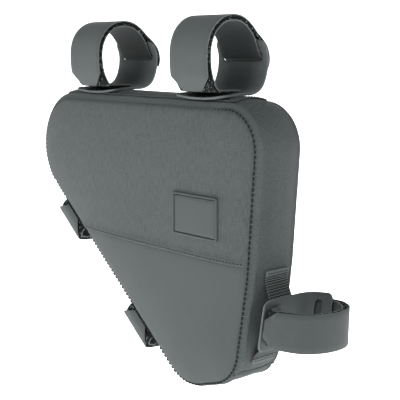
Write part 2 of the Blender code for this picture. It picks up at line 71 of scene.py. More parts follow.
# Corners of the seam line, as in the part, with the swell of the side wall before and after each
Corner = namedtuple("Corner", "along up radius swell_in swell_out")
CORNERS = (
    Corner(-0.2938, 0.0030, 0.199, 0.40, 1.00),
    Corner(1.0081, -0.0060, 0.135, 1.00, 1.00),
    Corner(0.9774, -0.5510, 1.229, 1.00, 1.00),
    Corner(0.9279, -0.9304, 0.156, 0.72, 0.08),
    Corner(0.7163, -1.0213, 0.172, 0.08, 0.30),
)
NOSE, SEAT_TOP, SEAT_BEND, SEAT_FOOT, DOWN_FOOT = range(5)
ARC_STEPS = 48
FOOT_SEAM = 0.45             # place of the lower cross seam in its corner
SKIN = 0.0022                # cloth with its foam

# Perimeter seam and its roll
PUCKER_PER_STITCH = 4        # columns of mesh from one stitch to the next
ROLL_PLACE = 0.0213          # from the bag's mid-plane
ROLL_WIDTH = 0.0021
GROOVE = 0.0021
WALL_ROWS = (25.0, 24.95, 24.75, 24.4, 23.9, 23.2, 22.4, 21.5, 20.5, 19.2, 17.5, 15, 12, 9, 6, 3)
FACE_RINGS = (0.0, 0.3, 0.7, 1.2, 1.9, 2.9, 4.3, 6.2)
FACE_WIDE_RINGS = ((9.0, 2), (13.0, 4), (18.0, 6))
FACE_GRID = 0.005
LAP_LEVELS = (0.0, 0.3, 0.8, 1.5, 2.0, 2.3, 2.6, 3.1, 4.2, 6.0)
UNDER_LEVELS = (0.0, -0.4, -1.0, -2.0, -4.0)
FINE_LEVELS = 8              # lap levels with the seam's own spacing
LAP_ROW = 2.3 * MM           # stitches over the lap's edge
LAP_END_CLEAR = 0.0004
MESH_LEAST = 0.00035         # between two points of a face's mesh

# The coarse copy of the bag that is run as cloth
COARSE_GRID = 0.007
COARSE_INSETS = (0.006, 0.013, 0.021)
COARSE_CLEAR = 0.024         # of the grid from the seam line
COARSE_LEAST = 0.003         # between two of its points
COARSE_ROWS = (0.7, 0.35, 0.0, -0.35, -0.7)
COARSE_DOME = 0.80           # shares of the full dome and bulge that it starts with
COARSE_BULGE = 0.85
PIN_REACH = 0.0055           # points this near a seam are held
PRESSURE = 4.0
CLOTH_QUALITY = 4
LAST_FRAME = 20
NEIGHBOURS = 6               # coarse points that move each fine one

# A stitch: shares of its length, and girth and lift in radii of the thread
STITCH_SIDES = 6
STITCH_RINGS = ((0.0, 0.35, -1.1), (0.14, 0.9, -0.1), (0.38, 1.0, 0.35), (0.62, 1.0, 0.35),
                (0.86, 0.9, -0.1), (1.0, 0.35, -1.1))

# Loops and routes of the straps, as in the part
Turn = namedtuple("Turn", "across out")
ROUND_LOOP = (
    Turn(1.00, 0.48), Turn(0.87, 0.67), Turn(0.62, 0.85), Turn(0.28, 0.97), Turn(-0.08, 1.00),
    Turn(-0.45, 0.96), Turn(-0.77, 0.84), Turn(-0.95, 0.67), Turn(-1.00, 0.48), Turn(-0.95, 0.27),
    Turn(-0.82, 0.11), Turn(-0.66, 0.00), Turn(-0.40, 0.00), Turn(0.00, 0.00), Turn(0.40, 0.00),
    Turn(0.76, 0.07), Turn(0.95, 0.25),
)
LONG_LOOP = (
    Turn(1.00, 0.22), Turn(1.01, 0.42), Turn(0.95, 0.62), Turn(0.78, 0.81), Turn(0.42, 0.95),
    Turn(0.00, 1.00), Turn(-0.40, 0.97), Turn(-0.75, 0.87), Turn(-0.96, 0.72), Turn(-1.01, 0.50),
    Turn(-0.99, 0.28), Turn(-0.94, 0.10), Turn(-0.76, 0.00), Turn(-0.40, 0.00), Turn(0.00, 0.00),
    Turn(0.40, 0.00), Turn(0.76, 0.02), Turn(0.94, 0.10),
)
FLAT_LOOP = (
    Turn(1.00, 0.44), Turn(0.98, 0.74), Turn(0.82, 0.96), Turn(0.42, 1.03), Turn(0.00, 1.04),
    Turn(-0.30, 1.04), Turn(-0.58, 1.01), Turn(-0.84, 0.90), Turn(-0.98, 0.66), Turn(-1.00, 0.38),
    Turn(-0.92, 0.10), Turn(-0.72, 0.00), Turn(-0.40, 0.00), Turn(0.00, 0.00), Turn(0.40, 0.00),
    Turn(0.78, 0.04), Turn(0.96, 0.18),
)
Step = namedtuple("Step", "unit place layer")
INNER_ROUTE = tuple(Step("loop", place, -0.5) for place in (0.775, 0.7, 0.6, 0.5, 0.4, 0.3))
THREADED_FOLD = tuple(Step("slot", *row) for row in (
    (2.60, -0.5), (1.60, -0.55), (0.85, -0.55), (0.20, -0.2), (-0.12, 0.70), (-0.42, 1.55),
    (-0.90, 2.10), (-1.10, 2.90), (-0.80, 3.50), (-0.10, 3.60), (0.65, 3.20), (1.35, 2.4),
    (2.10, 1.45), (3.10, 0.85)))
CLOSE_FOLD = tuple(Step("slot", *row) for row in (
    (2.60, -0.5), (1.60, -0.55), (0.85, -0.55), (0.28, -0.2), (0.02, 0.70), (-0.15, 1.55),
    (-0.15, 2.50), (0.20, 3.10), (0.80, 3.05), (1.45, 2.5), (2.20, 1.8), (3.10, 1.2)))
PASSING_FOLD = tuple(Step("slot", *row) for row in (
    (3.80, -0.4), (3.00, 0.3), (2.30, 1.3), (1.40, 1.6), (0.30, 1.6), (-0.50, 1.75),
    (-0.95, 2.60), (-0.55, 3.60), (0.40, 3.65), (1.50, 3.1), (2.50, 2.6), (3.60, 1.5)))
OUTER_ROUTE = (Step("loop", 0.300, 0.75), Step("loop", 0.400, 0.75), Step("loop", 0.500, 0.65))
TAIL_LIFT = 0.045

Strap = namedtuple("Strap", "name band head span reach shift lip sag tail_end tail_layer loop fold rise lean")
TOP_RIGHT = Strap("strap_top_right", 0.0476, 0.0612, 0.0586, 0.0612, -0.0027, -0.0245, 0.0012, 0.625, 1.5,
                  ROUND_LOOP, THREADED_FOLD, 0.0, 0.0)
TOP_LEFT = Strap("strap_top_left", 0.0476, 0.0612, 0.0600, 0.0590, 0.0010, -0.0220, 0.0012, 0.620, 1.5,
                 ROUND_LOOP, THREADED_FOLD, 0.0, 0.0)
SEAT = Strap("strap_seat", 0.0310, 0.0450, 0.0500, 0.0545, 0.0000, -0.0250, 0.0, 0.677, 1.1,
             LONG_LOOP, PASSING_FOLD, 0.0150, 8.0)
DOWN_UPPER = Strap("strap_down_upper", 0.0420, 0.0540, 0.0420, 0.0185, 0.0000, -0.0165, 0.0, 0.575, 0.9,
                   FLAT_LOOP, CLOSE_FOLD, 0.0, 0.0)
DOWN_LOWER = DOWN_UPPER._replace(name="strap_down_lower")
STRAP_THICKNESS = 0.0020
STRAP_PITCH = 0.0027
SLOT_LENGTH = 0.0080
SLOT_MARGIN = 0.0010
HEAD_END = 0.0140
HEAD_START = 0.775
HEAD_CORNER = 0.0060
TAIL_TAPER = 0.0125
TAIL_CUT = 0.26
DOWN_UPPER_PLACE = 0.165
DOWN_LOWER_PLACE = 0.755
LIP_BOW = 0.0024             # how far the middle of a top head's lip hangs below its corners
LIP_BOW_LENGTH = 0.022
LIP_PILE = 0.016
ROUTE_STEPS = 14
PILE_DEPTH = 0.0014
FACE_DEPTH = 0.0011
PILE_INSET = 0.0007          # from the band's edges
ROUND_EDGE = 0.0003
FOURTH_FINISH = 3
NARROW_TAPE_PAINTED_SHADE = 0.76           # factors on the straps' cloth colour: the narrow strap's faces darkened as painted shade
# the narrow strap's lining darker, partly its own tone and partly painted shade; the other straps' lining
# lighter as painted light
NARROW_LINING_TONE_AND_SHADE = 0.85
WIDE_LINING_PAINTED_LIGHT = 1.45
# the band's face inside its loop darkened as painted shade
BAND_INSIDE_PAINTED_SHADE = 0.50

# Trim, as in the part
LABEL = (0.0555, 0.0366, 0.0024)
LABEL_TO_SEAT = 0.0635
LABEL_DROP = 0.0917
PATCH_WIDTH = 0.040
PATCH_THICKNESS = 0.0015
PATCH_FROM_SEAT = 0.030
PATCH_LENGTH = 0.243
ZIP_LENGTH = 0.190
ZIP_TAPE = 0.016
ZIP_DROP = 0.042
TOOTH_PITCH = 0.0013
TOOTH_DEPTH = 0.00022
WEBBING_WIDTH = 0.025
WEBBING_THICKNESS = 0.0016
WEBBING_LENGTH = 0.082
WEBBING_DROP = 0.1700
WEBBING_BOW = 0.0115
WEBBING_HEM = 0.0042
RIB_PITCH = 0.0019
RIB_HEIGHT = 0.00045
BOW_ROWS = (
    (0.00, 0.00), (0.09, 0.00), (0.18, 0.28), (0.30, 0.80), (0.40, 1.00),
    (0.68, 1.00), (0.78, 0.74), (0.88, 0.22), (0.94, 0.00), (1.00, 0.00),
)
GAP = 0.0003


# Sizes and colours that a user would change


class BagSizes(bpy.types.PropertyGroup):
    """Sizes of the bag's sewing and padding"""
    stitch: bpy.props.FloatProperty(
        name="Perimeter Stitch", description="Pitch of the stitches in the perimeter seam",
        default=0.0043, min=0.002, max=0.01, unit="LENGTH")
    lap_stitch: bpy.props.FloatProperty(
        name="Lap Stitch", description="Pitch of the stitches along the level seam",
        default=0.0036, min=0.002, max=0.01, unit="LENGTH")
    thread: bpy.props.FloatProperty(
        name="Thread", description="Thickness of the sewing thread",
        default=0.0007, min=0.0002, max=0.002, unit="LENGTH")
    roll: bpy.props.FloatProperty(
        name="Seam Roll", description="Height of the roll beside the perimeter seam",
        default=0.0016, min=0.0, max=0.003, unit="LENGTH")
    lap: bpy.props.FloatProperty(
        name="Lap", description="How far the upper panel stands over the lower one",
        default=0.0010, min=0.0, max=0.003, unit="LENGTH")
    swell: bpy.props.FloatProperty(
        name="Swell", description="The most that the padding may move outward",
        default=0.0020, min=0.0, max=0.006, unit="LENGTH")
    voxel: bpy.props.FloatProperty(
        name="Cloth Voxel", description="Cell of the remesh that the cloth is run on",
        default=0.0055, min=0.004, max=0.01, unit="LENGTH")


SWATCH = {"subtype": "COLOR", "size": 3}


class BagColours(bpy.types.PropertyGroup):
    """Colours of the bag's materials"""
    woven: bpy.props.FloatVectorProperty(
        name="Woven", description="Upper front panel", default=(0.070, 0.080, 0.080), **SWATCH)
    smooth: bpy.props.FloatVectorProperty(
        name="Smooth", description="Lower front panel", default=(0.069, 0.079, 0.079), **SWATCH)
    side: bpy.props.FloatVectorProperty(
        name="Side", description="Side wall and back", default=(0.058, 0.068, 0.068), **SWATCH)
    strap: bpy.props.FloatVectorProperty(
        name="Strap", description="Smooth faces of the straps", default=(0.074, 0.085, 0.0848), **SWATCH)
    cut: bpy.props.FloatVectorProperty(
        name="Cut Edge", description="Cut edges of the straps", default=(0.125, 0.140, 0.138), **SWATCH)
    pile: bpy.props.FloatVectorProperty(
        name="Pile", description="Loop pile of the bands", default=(0.010, 0.012, 0.012), **SWATCH)
    ribbed: bpy.props.FloatVectorProperty(
        name="Webbing", description="Ribbed webbing", default=(0.060, 0.070, 0.069), **SWATCH)
    moulded: bpy.props.FloatVectorProperty(
        name="Label", description="Moulded label", default=(0.060, 0.070, 0.069), **SWATCH)
    thread: bpy.props.FloatVectorProperty(
        name="Thread", description="Sewing thread", default=(0.010, 0.013, 0.0125), **SWATCH)


def sizes():
    """Return the scene's bag sizes."""
    return bpy.context.scene.frame_bag_sizes


def colours():
    """Return the scene's bag colours."""
    return bpy.context.scene.frame_bag_colours


# Shader maths


class Wire:
    """A node's socket, joined with others by Python's own operators."""

    def __init__(self, tree, socket):
        self.tree, self.socket = tree, socket

    def node(self, kind, settings=None, sockets=None, output=0):
        """Add a node: its settings first, then the values or links of its sockets."""
        made = self.tree.nodes.new(kind)
        for key, value in (settings or {}).items():
            setattr(made, key, value)
        for key, value in (sockets or {}).items():
            if isinstance(value, Wire):
                self.tree.links.new(value.socket, made.inputs[key])
            else:
                made.inputs[key].default_value = value
        return Wire(self.tree, made.outputs[output])

    def maths(self, operation, *values):
        """Add a Math node on these values."""
        return self.node("ShaderNodeMath", {"operation": operation}, dict(enumerate(values)))

    def __add__(self, other):
        return self.maths("ADD", self, other)

    def __sub__(self, other):
        return self.maths("SUBTRACT", self, other)

    def __rsub__(self, other):
        return self.maths("SUBTRACT", other, self)

    def __mul__(self, other):
        return self.maths("MULTIPLY", self, other)

    def __pow__(self, other):
        return self.maths("POWER", self, other)

    def part(self, axis):
        """Return one part of a vector."""
        return self.node("ShaderNodeSeparateXYZ", None, {0: self}, "XYZ".index(axis))

    def wave(self, period):
        """Return a wave of 0 to 1 with a period along this value."""
        return self.maths("SINE", self * (TAU / period)) * 0.5 + 0.5

    def spots(self, scale, detail=2.0):
        """Return noise of 0 to 1 over this vector."""
        return self.node("ShaderNodeTexNoise", {"noise_dimensions": "3D"},
                         {"Vector": self, "Scale": scale, "Detail": detail})

    def stretched(self, x, y, z):
        """Return this vector with its parts multiplied."""
        return self.node("ShaderNodeVectorMath", {"operation": "MULTIPLY"}, {0: self, 1: (x, y, z)})

    def between(self, low, high):
        """Return this value brought from a range of low to high into 0 to 1."""
        return self.node("ShaderNodeMapRange", {"interpolation_type": "SMOOTHSTEP"},
                         {"Value": self, "From Min": low, "From Max": high})

    def blend(self, one, two):
        """Return a colour between two, with this value as the share of the second."""
        return self.node("ShaderNodeMix", {"data_type": "RGBA"}, {0: self, 6: one, 7: two}, 2)


def shade(colour, factor):
    """Return a colour made lighter or darker, with its alpha."""
    return (*(min(part * factor, 1.0) for part in colour), 1.0)


def finish(name, roughness, sheen=0.0, specular=0.2):
    """Return a new material, its shader node and wires for its cloth plane and its place."""
    material = bpy.data.materials.new(name)
    material.use_nodes = True
    tree = material.node_tree
    shader = tree.nodes["Principled BSDF"]
    shader.inputs["Roughness"].default_value = roughness
    shader.inputs["Specular IOR Level"].default_value = specular
    shader.inputs["Sheen Weight"].default_value = sheen
    shader.inputs["Sheen Roughness"].default_value = 0.6
    start = Wire(tree, None)
    plane = start.node("ShaderNodeUVMap", {"uv_map": "cloth"})
    place = start.node("ShaderNodeTexCoord", None, None, 3)
    return material, shader, plane, place


def dress(shader, colour, height, distance, roughness=None):
    """Link a colour, a bump of a depth in metres and perhaps a roughness to a shader."""
    links = colour.tree.links
    links.new(colour.socket, shader.inputs["Base Color"])
    bump = colour.node("ShaderNodeBump", None, {"Strength": 1.0, "Distance": distance, "Height": height})
    links.new(bump.socket, shader.inputs["Normal"])
    if roughness is not None:
        links.new(roughness.socket, shader.inputs["Roughness"])


@lru_cache(maxsize=None)
def woven_finish():
    """Plain weave of heathered yarns, with slubs along both directions."""
    base = colours().woven
    material, shader, plane, place = finish("woven_cloth", 0.86, 0.08)
    across, along = plane.part("X"), plane.part("Y")
    over = across.wave(0.0012) * (1 - along.wave(0.0012)) + (1 - across.wave(0.0012)) * along.wave(0.0012)
    slubs = plane.stretched(1.0, 0.12, 1.0).spots(1100, 1.0) * 0.65
    slubs = slubs + plane.stretched(0.12, 1.0, 1.0).spots(1100, 1.0) * 0.35
    clouds = place.spots(45, 3.0)
    light = (slubs - 0.5) * 2.1 + over * 0.16 + (clouds - 0.5) * 0.25 + 0.42
    dress(shader, light.blend(shade(base, 0.66), shade(base, 1.34)), over * 0.6 + slubs * 0.9, 0.0003,
          slubs * 0.10 + 0.80)
    return material


@lru_cache(maxsize=None)
def smooth_finish():
    """Close, smooth cloth with a faint grain."""
    base = colours().smooth
    material, shader, _, place = finish("smooth_cloth", 0.80, 0.06)
    grain = place.spots(1500, 2.0)
    clouds = place.spots(38, 3.0)
    light = (grain - 0.5) * 0.8 + (clouds - 0.5) * 0.3 + 0.5
    dress(shader, light.blend(shade(base, 0.80), shade(base, 1.20)), grain, 0.00012, grain * 0.10 + 0.74)
    return material


@lru_cache(maxsize=None)
def twill_finish():
    """Twill whose ribs run across the wall at a slant, with a painted highlight over the seam roll."""
    base = colours().side
    material, shader, plane, place = finish("twill_cloth", 0.88, 0.06)
    along, across = plane.part("X"), plane.part("Y")
    rib = (along + across * 0.55).wave(0.0017) ** 1.4
    yarn = (across - along * 0.3).wave(0.0010)
    grain = place.spots(900, 2.0)
    clouds = place.spots(40, 3.0)
    # painted highlight: a lighter band 19.5 to 24.6 mm across from the middle, over the seam roll
    reach = across.maths("ABSOLUTE", across)
    painted_roll_highlight = reach.between(0.0195, 0.0222) * (1 - reach.between(0.0234, 0.0246))
    light = rib * 0.26 + (grain - 0.5) * 1.5 + (clouds - 0.5) * 0.3 + painted_roll_highlight * 0.42 + 0.36
    dress(shader, light.blend(shade(base, 0.66), shade(base, 1.34)), rib + yarn * 0.25 + grain * 0.4, 0.00035,
          grain * 0.08 + 0.84)
    return material


@lru_cache(maxsize=None)
def strap_finish(depth):
    """Smooth knitted face of the straps, with a soft nap; depth scales the colour, for the darker copy that
    is painted shade.
    """
    base = shade(colours().strap, depth)[:3]
    material, shader, _, place = finish("strap_face", 0.82, 0.08)
    grain = place.spots(1100, 2.0)
    fine = place.spots(2600, 1.0)
    clouds = place.spots(60, 3.0)
    light = (grain - 0.5) * 0.9 + (fine - 0.5) * 0.4 + (clouds - 0.5) * 0.5 + 0.5
    dress(shader, light.blend(shade(base, 0.78), shade(base, 1.22)), grain + fine * 0.5, 0.00014,
          grain * 0.1 + 0.76)
    return material


@lru_cache(maxsize=None)
def lining_finish(depth):
    """Inner face of the straps, its colour scaled by depth: darker copies as painted shade, on the narrow
    heads partly their own darker tone, and a lighter copy as painted light.
    """
    base = shade(colours().strap, depth)[:3]
    material, shader, plane, place = finish("strap_lining", 0.84, 0.04)
    grain = place.spots(1000, 2.0)
    streaks = plane.stretched(60.0, 420.0, 1.0).spots(1.0, 2.0)
    light = (grain - 0.5) * 0.5 + (streaks - 0.5) * 0.35 + 0.5
    dress(shader, light.blend(shade(base, 0.75), shade(base, 1.25)), grain, 0.00012, grain * 0.1 + 0.78)
    return material


@lru_cache(maxsize=None)
def cut_finish():
    """Cut edge of a strap, lighter and a little rough."""
    base = colours().cut
    material, shader, _, place = finish("strap_cut_edge", 0.85)
    grain = place.spots(1400, 2.0)
    dress(shader, grain.blend(shade(base, 0.6), shade(base, 1.3)), grain, 0.0002, grain * 0.1 + 0.8)
    return material


@lru_cache(maxsize=None)
def pile_finish():
    """Loop pile: near black, with grey flecks where loops catch the light."""
    base = colours().pile
    material, shader, _, place = finish("loop_pile", 0.95, 0.03, 0.1)
    loops = place.node("ShaderNodeTexVoronoi", {"feature": "F1"}, {"Vector": place, "Scale": 620.0})
    fleck = (1 - loops).between(0.55, 0.85) * place.spots(380, 1.0).between(0.44, 0.58)
    dress(shader, fleck.blend(shade(base, 0.6), shade(base, 30.0)), 1 - loops, 0.0006, fleck * -0.1 + 0.95)
    return material


@lru_cache(maxsize=None)
def webbing_finish():
    """Ribbed webbing, with painted highlight on its ribs and folded hems and painted shade between the ribs.
    """
    base = colours().ribbed
    material, shader, plane, place = finish("ribbed_webbing", 0.75, 0.05)
    yarn = plane.part("X").wave(0.0009)
    grain = place.spots(1200, 2.0)
    # painted light and shade: high on ribs and hems, low between ribs, blending a near-black and a bright
    # copy
    lit = place.node("ShaderNodeAttribute", {"attribute_name": "painted_rib_light"}, None, 2)
    light = lit + (yarn - 0.5) * 0.12 + (grain - 0.5) * 0.35
    dress(shader, light.blend(shade(base, 0.10), shade(base, 2.7)), yarn + grain, 0.0002, grain * 0.1 + 0.7)
    return material


@lru_cache(maxsize=None)
def moulded_finish():
    """Soft moulded rubber of the label."""
    base = colours().moulded
    material, shader, _, place = finish("moulded_label", 0.62, 0.0, 0.4)
    grain = place.spots(1300, 3.0)
    clouds = place.spots(90, 2.0)
    light = (grain - 0.5) * 0.4 + (clouds - 0.5) * 0.2 + 0.5
    dress(shader, light.blend(shade(base, 0.82), shade(base, 1.18)), grain, 0.00006, grain * 0.15 + 0.55)
    return material


@lru_cache(maxsize=None)
def thread_finish():
    """Twisted sewing thread."""
    base = colours().thread
    material, shader, _, place = finish("sewing_thread", 0.7)
    grain = place.spots(2200, 1.0)
    dress(shader, grain.blend(shade(base, 0.6), shade(base, 1.6)), grain, 0.0001, grain * 0.2 + 0.6)
    return material


@lru_cache(maxsize=None)
def coil_finish():
    """Coated zip tape and coil."""
    base = shade(colours().side, 0.5)[:3]
    material, shader, plane, place = finish("zip_tape", 0.6, 0.0, 0.45)
    ribs = plane.part("X").wave(0.0011)
    grain = place.spots(900, 2.0)
    dress(shader, (ribs * 0.4 + grain * 0.6).blend(shade(base, 0.7), shade(base, 1.3)), ribs + grain, 0.00015,
          grain * 0.15 + 0.5)
    return material


@lru_cache(maxsize=None)
def floor_finish():
    """Matt pale paper of the stage."""
    material, shader, _, place = finish("pale_paper", 0.95, 0.0, 0.1)
    grain = place.spots(12, 2.0)
    dress(shader, grain.blend((0.90, 0.90, 0.90, 1.0), (0.92, 0.92, 0.92, 1.0)), grain, 0.0001)
    return material


# The seam line


def unit(vector):
    """Return a vector at length one."""
    vector = np.asarray(vector, float)
    return vector / np.linalg.norm(vector)


def runs_along(points):
    """Return how far each point of a line lies from its first, along the line."""
    return np.concatenate([[0.0], np.cumsum(np.linalg.norm(np.diff(points, axis=0), axis=1))])


def smoothstep(value, low, high):
    """Return 0 below low, 1 above high and a smooth rise between."""
    share = np.clip((np.asarray(value, float) - low) / (high - low), 0.0, 1.0)
    return share * share * (3 - 2 * share)


def corner_point(corner):
    """Return where a corner of the seam line lies, as (x, z)."""
    return np.array([corner.along * BAG_LENGTH - NOSE_TO_MOUNT, corner.up * BAG_HEIGHT - TUBE_TO_TOP])


def corner_arc(index):
    """Return the rows (x, z, normal x, normal z, swell) of one rounded corner."""
    here = CORNERS[index]
    before, at, after = (corner_point(CORNERS[(index + k) % len(CORNERS)]) for k in (-1, 0, 1))
    back, ahead = unit(before - at), unit(after - at)
    half = math.acos(float(back @ ahead)) / 2
    radius = here.radius * BAG_HEIGHT
    centre = at + unit(back + ahead) * radius / math.sin(half)
    start = unit(at + back * radius / math.tan(half) - centre)
    first = math.atan2(start[1], start[0])
    share = np.linspace(0.0, 1.0, ARC_STEPS + 1)
    angle = first - (math.pi - 2 * half) * share
    normal = np.stack([np.cos(angle), np.sin(angle)], 1)
    swell = (here.swell_in + (here.swell_out - here.swell_in) * share) * GUSSET_BULGE
    return np.column_stack([centre + normal * radius, normal, swell])


@lru_cache(maxsize=None)
def seam_table():
    """Return the closed seam line's rows, the run of each row and the run of each corner's ends."""
    arcs = [corner_arc(k) for k in range(len(CORNERS))]
    rows = np.concatenate(arcs + [arcs[0][:1]])
    runs = runs_along(rows[:, :2])
    size = ARC_STEPS + 1
    ends = [(runs[k * size], runs[k * size + ARC_STEPS]) for k in range(len(CORNERS))]
    return rows, runs, ends


def seam_length():
    """Return the length of the seam line."""
    return float(seam_table()[1][-1])


def at_run(run):
    """Return points, outward normals and swells at runs along the seam line."""
    rows, runs, _ = seam_table()
    run = np.asarray(run, float) % runs[-1]
    mix = np.stack([np.interp(run, runs, rows[:, k]) for k in range(5)], -1)
    normal = mix[..., 2:4] / np.linalg.norm(mix[..., 2:4], axis=-1, keepdims=True)
    return mix[..., :2], normal, mix[..., 4]


def corner_run(index, end):
    """Return the run where a corner starts (end 0) or finishes (end 1)."""
    return float(seam_table()[2][index][end])


def run_at_x(x):
    """Return the run of the top side at an x."""
    runs = np.linspace(0.0, corner_run(SEAT_TOP, 1), 2000)
    return float(np.interp(x, at_run(runs)[0][:, 0], runs))


def run_at_z(z):
    """Return the run of the seat side at a z."""
    runs = np.linspace(corner_run(SEAT_TOP, 1), corner_run(SEAT_FOOT, 1), 2000)
    return float(np.interp(-z, -at_run(runs)[0][:, 1], runs))


def nearest_seam(points):
    """Return how far inside the seam line each point (x, z) lies, and the run of its nearest place."""
    runs = np.linspace(0.0, seam_length(), 1800, endpoint=False)
    line, normal, _ = at_run(runs)
    depth, place = np.empty(len(points)), np.empty(len(points))
    for first in range(0, len(points), 2000):
        part = slice(first, first + 2000)
        chunk = points[part]
        gap = ((chunk[:, None, :] - line[None]) ** 2).sum(2)
        near = gap.argmin(1)
        depth[part] = ((line[near] - chunk) * normal[near]).sum(1)
        along = np.stack([normal[near, 1], -normal[near, 0]], 1)
        place[part] = runs[near] + ((chunk - line[near]) * along).sum(1)
    return np.maximum(depth, 0.0), place


def wall_out(y, swell):
    """Return how far the side wall stands outside the seam line at a y."""
    share = np.clip(np.abs(y) / HALF_DEPTH, 0.0, 1.0)
    crown = (1 - share ** 2.3) ** 0.72 * swell
    return crown + sizes().roll * np.exp(-((np.abs(y) - ROLL_PLACE) / ROLL_WIDTH) ** 2)


def ripple(x, y, z, scale, seed=0.0):
    """Return smooth noise of -1 to 1 at points."""
    return np.array([noise.noise(Vector((a * scale + seed, b * scale, c * scale)))
                     for a, b, c in zip(np.ravel(x), np.ravel(y), np.ravel(z))])


# Mesh helpers


def finish_piece(name, mesh, finishes, node=None, sharp=50):
    """Make a piece from a mesh: smooth it, give it its materials and put it on the root body."""
    mesh.shade_smooth()
    mesh.set_sharp_from_angle(angle=math.radians(sharp))
    for material in finishes:
        mesh.materials.append(material)
    piece = bpy.data.objects.new(name, mesh)
    bpy.context.scene.collection.objects.link(piece)
    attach(piece, "root")
    if node:
        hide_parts(node)
    return piece


def mesh_of(name, points, faces, plane=None, indexes=None):
    """Return a mesh with its cloth plane in metres and its material indexes."""
    mesh = bpy.data.meshes.new(name)
    mesh.from_pydata([tuple(map(float, p)) for p in points], [], [tuple(map(int, f)) for f in faces])
    bm = bmesh.new()
    bm.from_mesh(mesh)
    bmesh.ops.recalc_face_normals(bm, faces=bm.faces)
    bm.to_mesh(mesh)
    bm.free()
    if plane is not None:
        layer = mesh.uv_layers.new(name="cloth")
        corners = np.empty(len(mesh.loops), int)
        mesh.loops.foreach_get("vertex_index", corners)
        layer.data.foreach_set("uv", np.asarray(plane, float)[corners].astype(np.float32).ravel())
    if indexes is not None:
        mesh.polygons.foreach_set("material_index", np.asarray(indexes, dtype=np.int32))
    mesh.update()
    return mesh


def grid_faces(rows, columns, closed=False):
    """Return the quads of a grid of points stored row by row, perhaps closed along its rows."""
    last = rows if closed else rows - 1
    starts = [(r * columns, (r + 1) % rows * columns) for r in range(last)]
    return [(low + c, low + c + 1, high + c + 1, high + c)
            for low, high in starts for c in range(columns - 1)]


def spaced(points, least):
    """Return the points in order without those closer than a distance to one kept before."""
    cells, kept = {}, []
    for point in points:
        key = (int(point[0] // least), int(point[1] // least))
        near = (q for i in (-1, 0, 1) for j in (-1, 0, 1) for q in cells.get((key[0] + i, key[1] + j), ()))
        if any((q[0] - point[0]) ** 2 + (q[1] - point[1]) ** 2 < least * least for q in near):
            continue
        cells.setdefault(key, []).append(point)
        kept.append(point)
    return np.array(kept)


def triangles_of(points):
    """Return the Delaunay triangles over points whose outline is convex."""
    made = delaunay_2d_cdt([Vector(p) for p in points], [], [], 0, 1e-7)
    return np.array([tuple(p) for p in made[0]]), [tuple(f) for f in made[2]]


# The padding, run as cloth


@lru_cache(maxsize=None)
def padding():
    """Inflate a coarse copy of the whole bag as cloth, and return where it was and how it moved."""
    if sizes().swell <= 0:
        return None
    count = int(seam_length() / COARSE_GRID)
    runs = np.arange(count) * seam_length() / count
    rim, normal, swell = at_run(runs)
    inner = [rim - normal * inset for inset in COARSE_INSETS]
    xs, zs = (np.arange(low, high, COARSE_GRID) for low, high in ((-0.16, 0.15), (-0.29, -0.04)))
    field = np.array([(x, z) for x in xs for z in zs])
    field = field[nearest_field(field) > COARSE_CLEAR]
    flat, faces = triangles_of(spaced(np.concatenate([rim] + inner + [field]), COARSE_LEAST))
    depth, _ = nearest_seam(flat)
    height = HALF_DEPTH + face_dome(depth) * COARSE_DOME
    walls = [np.column_stack([rim + normal * (wall_out(y, swell) * COARSE_BULGE)[:, None], np.full(count, y)])
             for y in np.array(COARSE_ROWS) * HALF_DEPTH]
    points = [(x, h, z) for (x, z), h in zip(flat, height)] + [(x, -h, z) for (x, z), h in zip(flat, height)]
    solid = [f[::-1] for f in faces] + [tuple(k + len(flat) for k in f) for f in faces]
    top = [int(((flat - p) ** 2).sum(1).argmin()) for p in rim]
    rows = [top]
    for wall in walls:
        rows.append(list(range(len(points), len(points) + count)))
        points += [(x, y, z) for x, z, y in wall]
    rows.append([k + len(flat) for k in top])
    for one, two in zip(rows, rows[1:]):
        solid += [(one[k], one[(k + 1) % count], two[(k + 1) % count], two[k]) for k in range(count)]
    dummy = bpy.data.objects.new("padding", mesh_of("padding", points, solid))
    bpy.context.scene.collection.objects.link(dummy)
    remesh = dummy.modifiers.new("remesh", "REMESH")
    remesh.mode, remesh.voxel_size = "VOXEL", sizes().voxel
    graph = bpy.context.evaluated_depsgraph_get()
    shell = bpy.data.meshes.new_from_object(dummy.evaluated_get(graph))
    dummy.modifiers.clear()
    dummy.data = shell
    before = coordinates(shell)
    depth, _ = nearest_seam(before[:, [0, 2]])
    from_seam = np.hypot(depth, np.abs(np.abs(before[:, 1]) - HALF_DEPTH))
    pins = dummy.vertex_groups.new(name="seams")
    pins.add([int(k) for k in np.flatnonzero(from_seam < PIN_REACH)], 1.0, "REPLACE")
    cloth = dummy.modifiers.new("padding", "CLOTH")
    cloth.settings.vertex_group_mass = "seams"
    cloth.settings.use_pressure = True
    cloth.settings.uniform_pressure_force = PRESSURE
    cloth.settings.effector_weights.gravity = 0.0
    cloth.settings.quality = CLOTH_QUALITY
    scene = bpy.context.scene
    for moment in range(1, LAST_FRAME + 1):
        scene.frame_set(moment)
    graph = bpy.context.evaluated_depsgraph_get()
    after = coordinates(dummy.evaluated_get(graph).data)
    scene.frame_set(1)
    bpy.data.objects.remove(dummy)
    moved = after - before
    length = np.linalg.norm(moved, axis=1)
    cap = sizes().swell
    moved *= (cap * np.tanh(length / cap) / np.maximum(length, 1e-9))[:, None]
    tree = KDTree(len(before))
    for k, point in enumerate(before):
        tree.insert(Vector(point), k)
    tree.balance()
    return tree, moved


def nearest_field(points):
    """Return a signed distance inside the seam line, negative outside it."""
    runs = np.linspace(0.0, seam_length(), 500, endpoint=False)
    line, normal, _ = at_run(runs)
    return ((line[None] - points[:, None]) * normal[None]).sum(2).min(1)


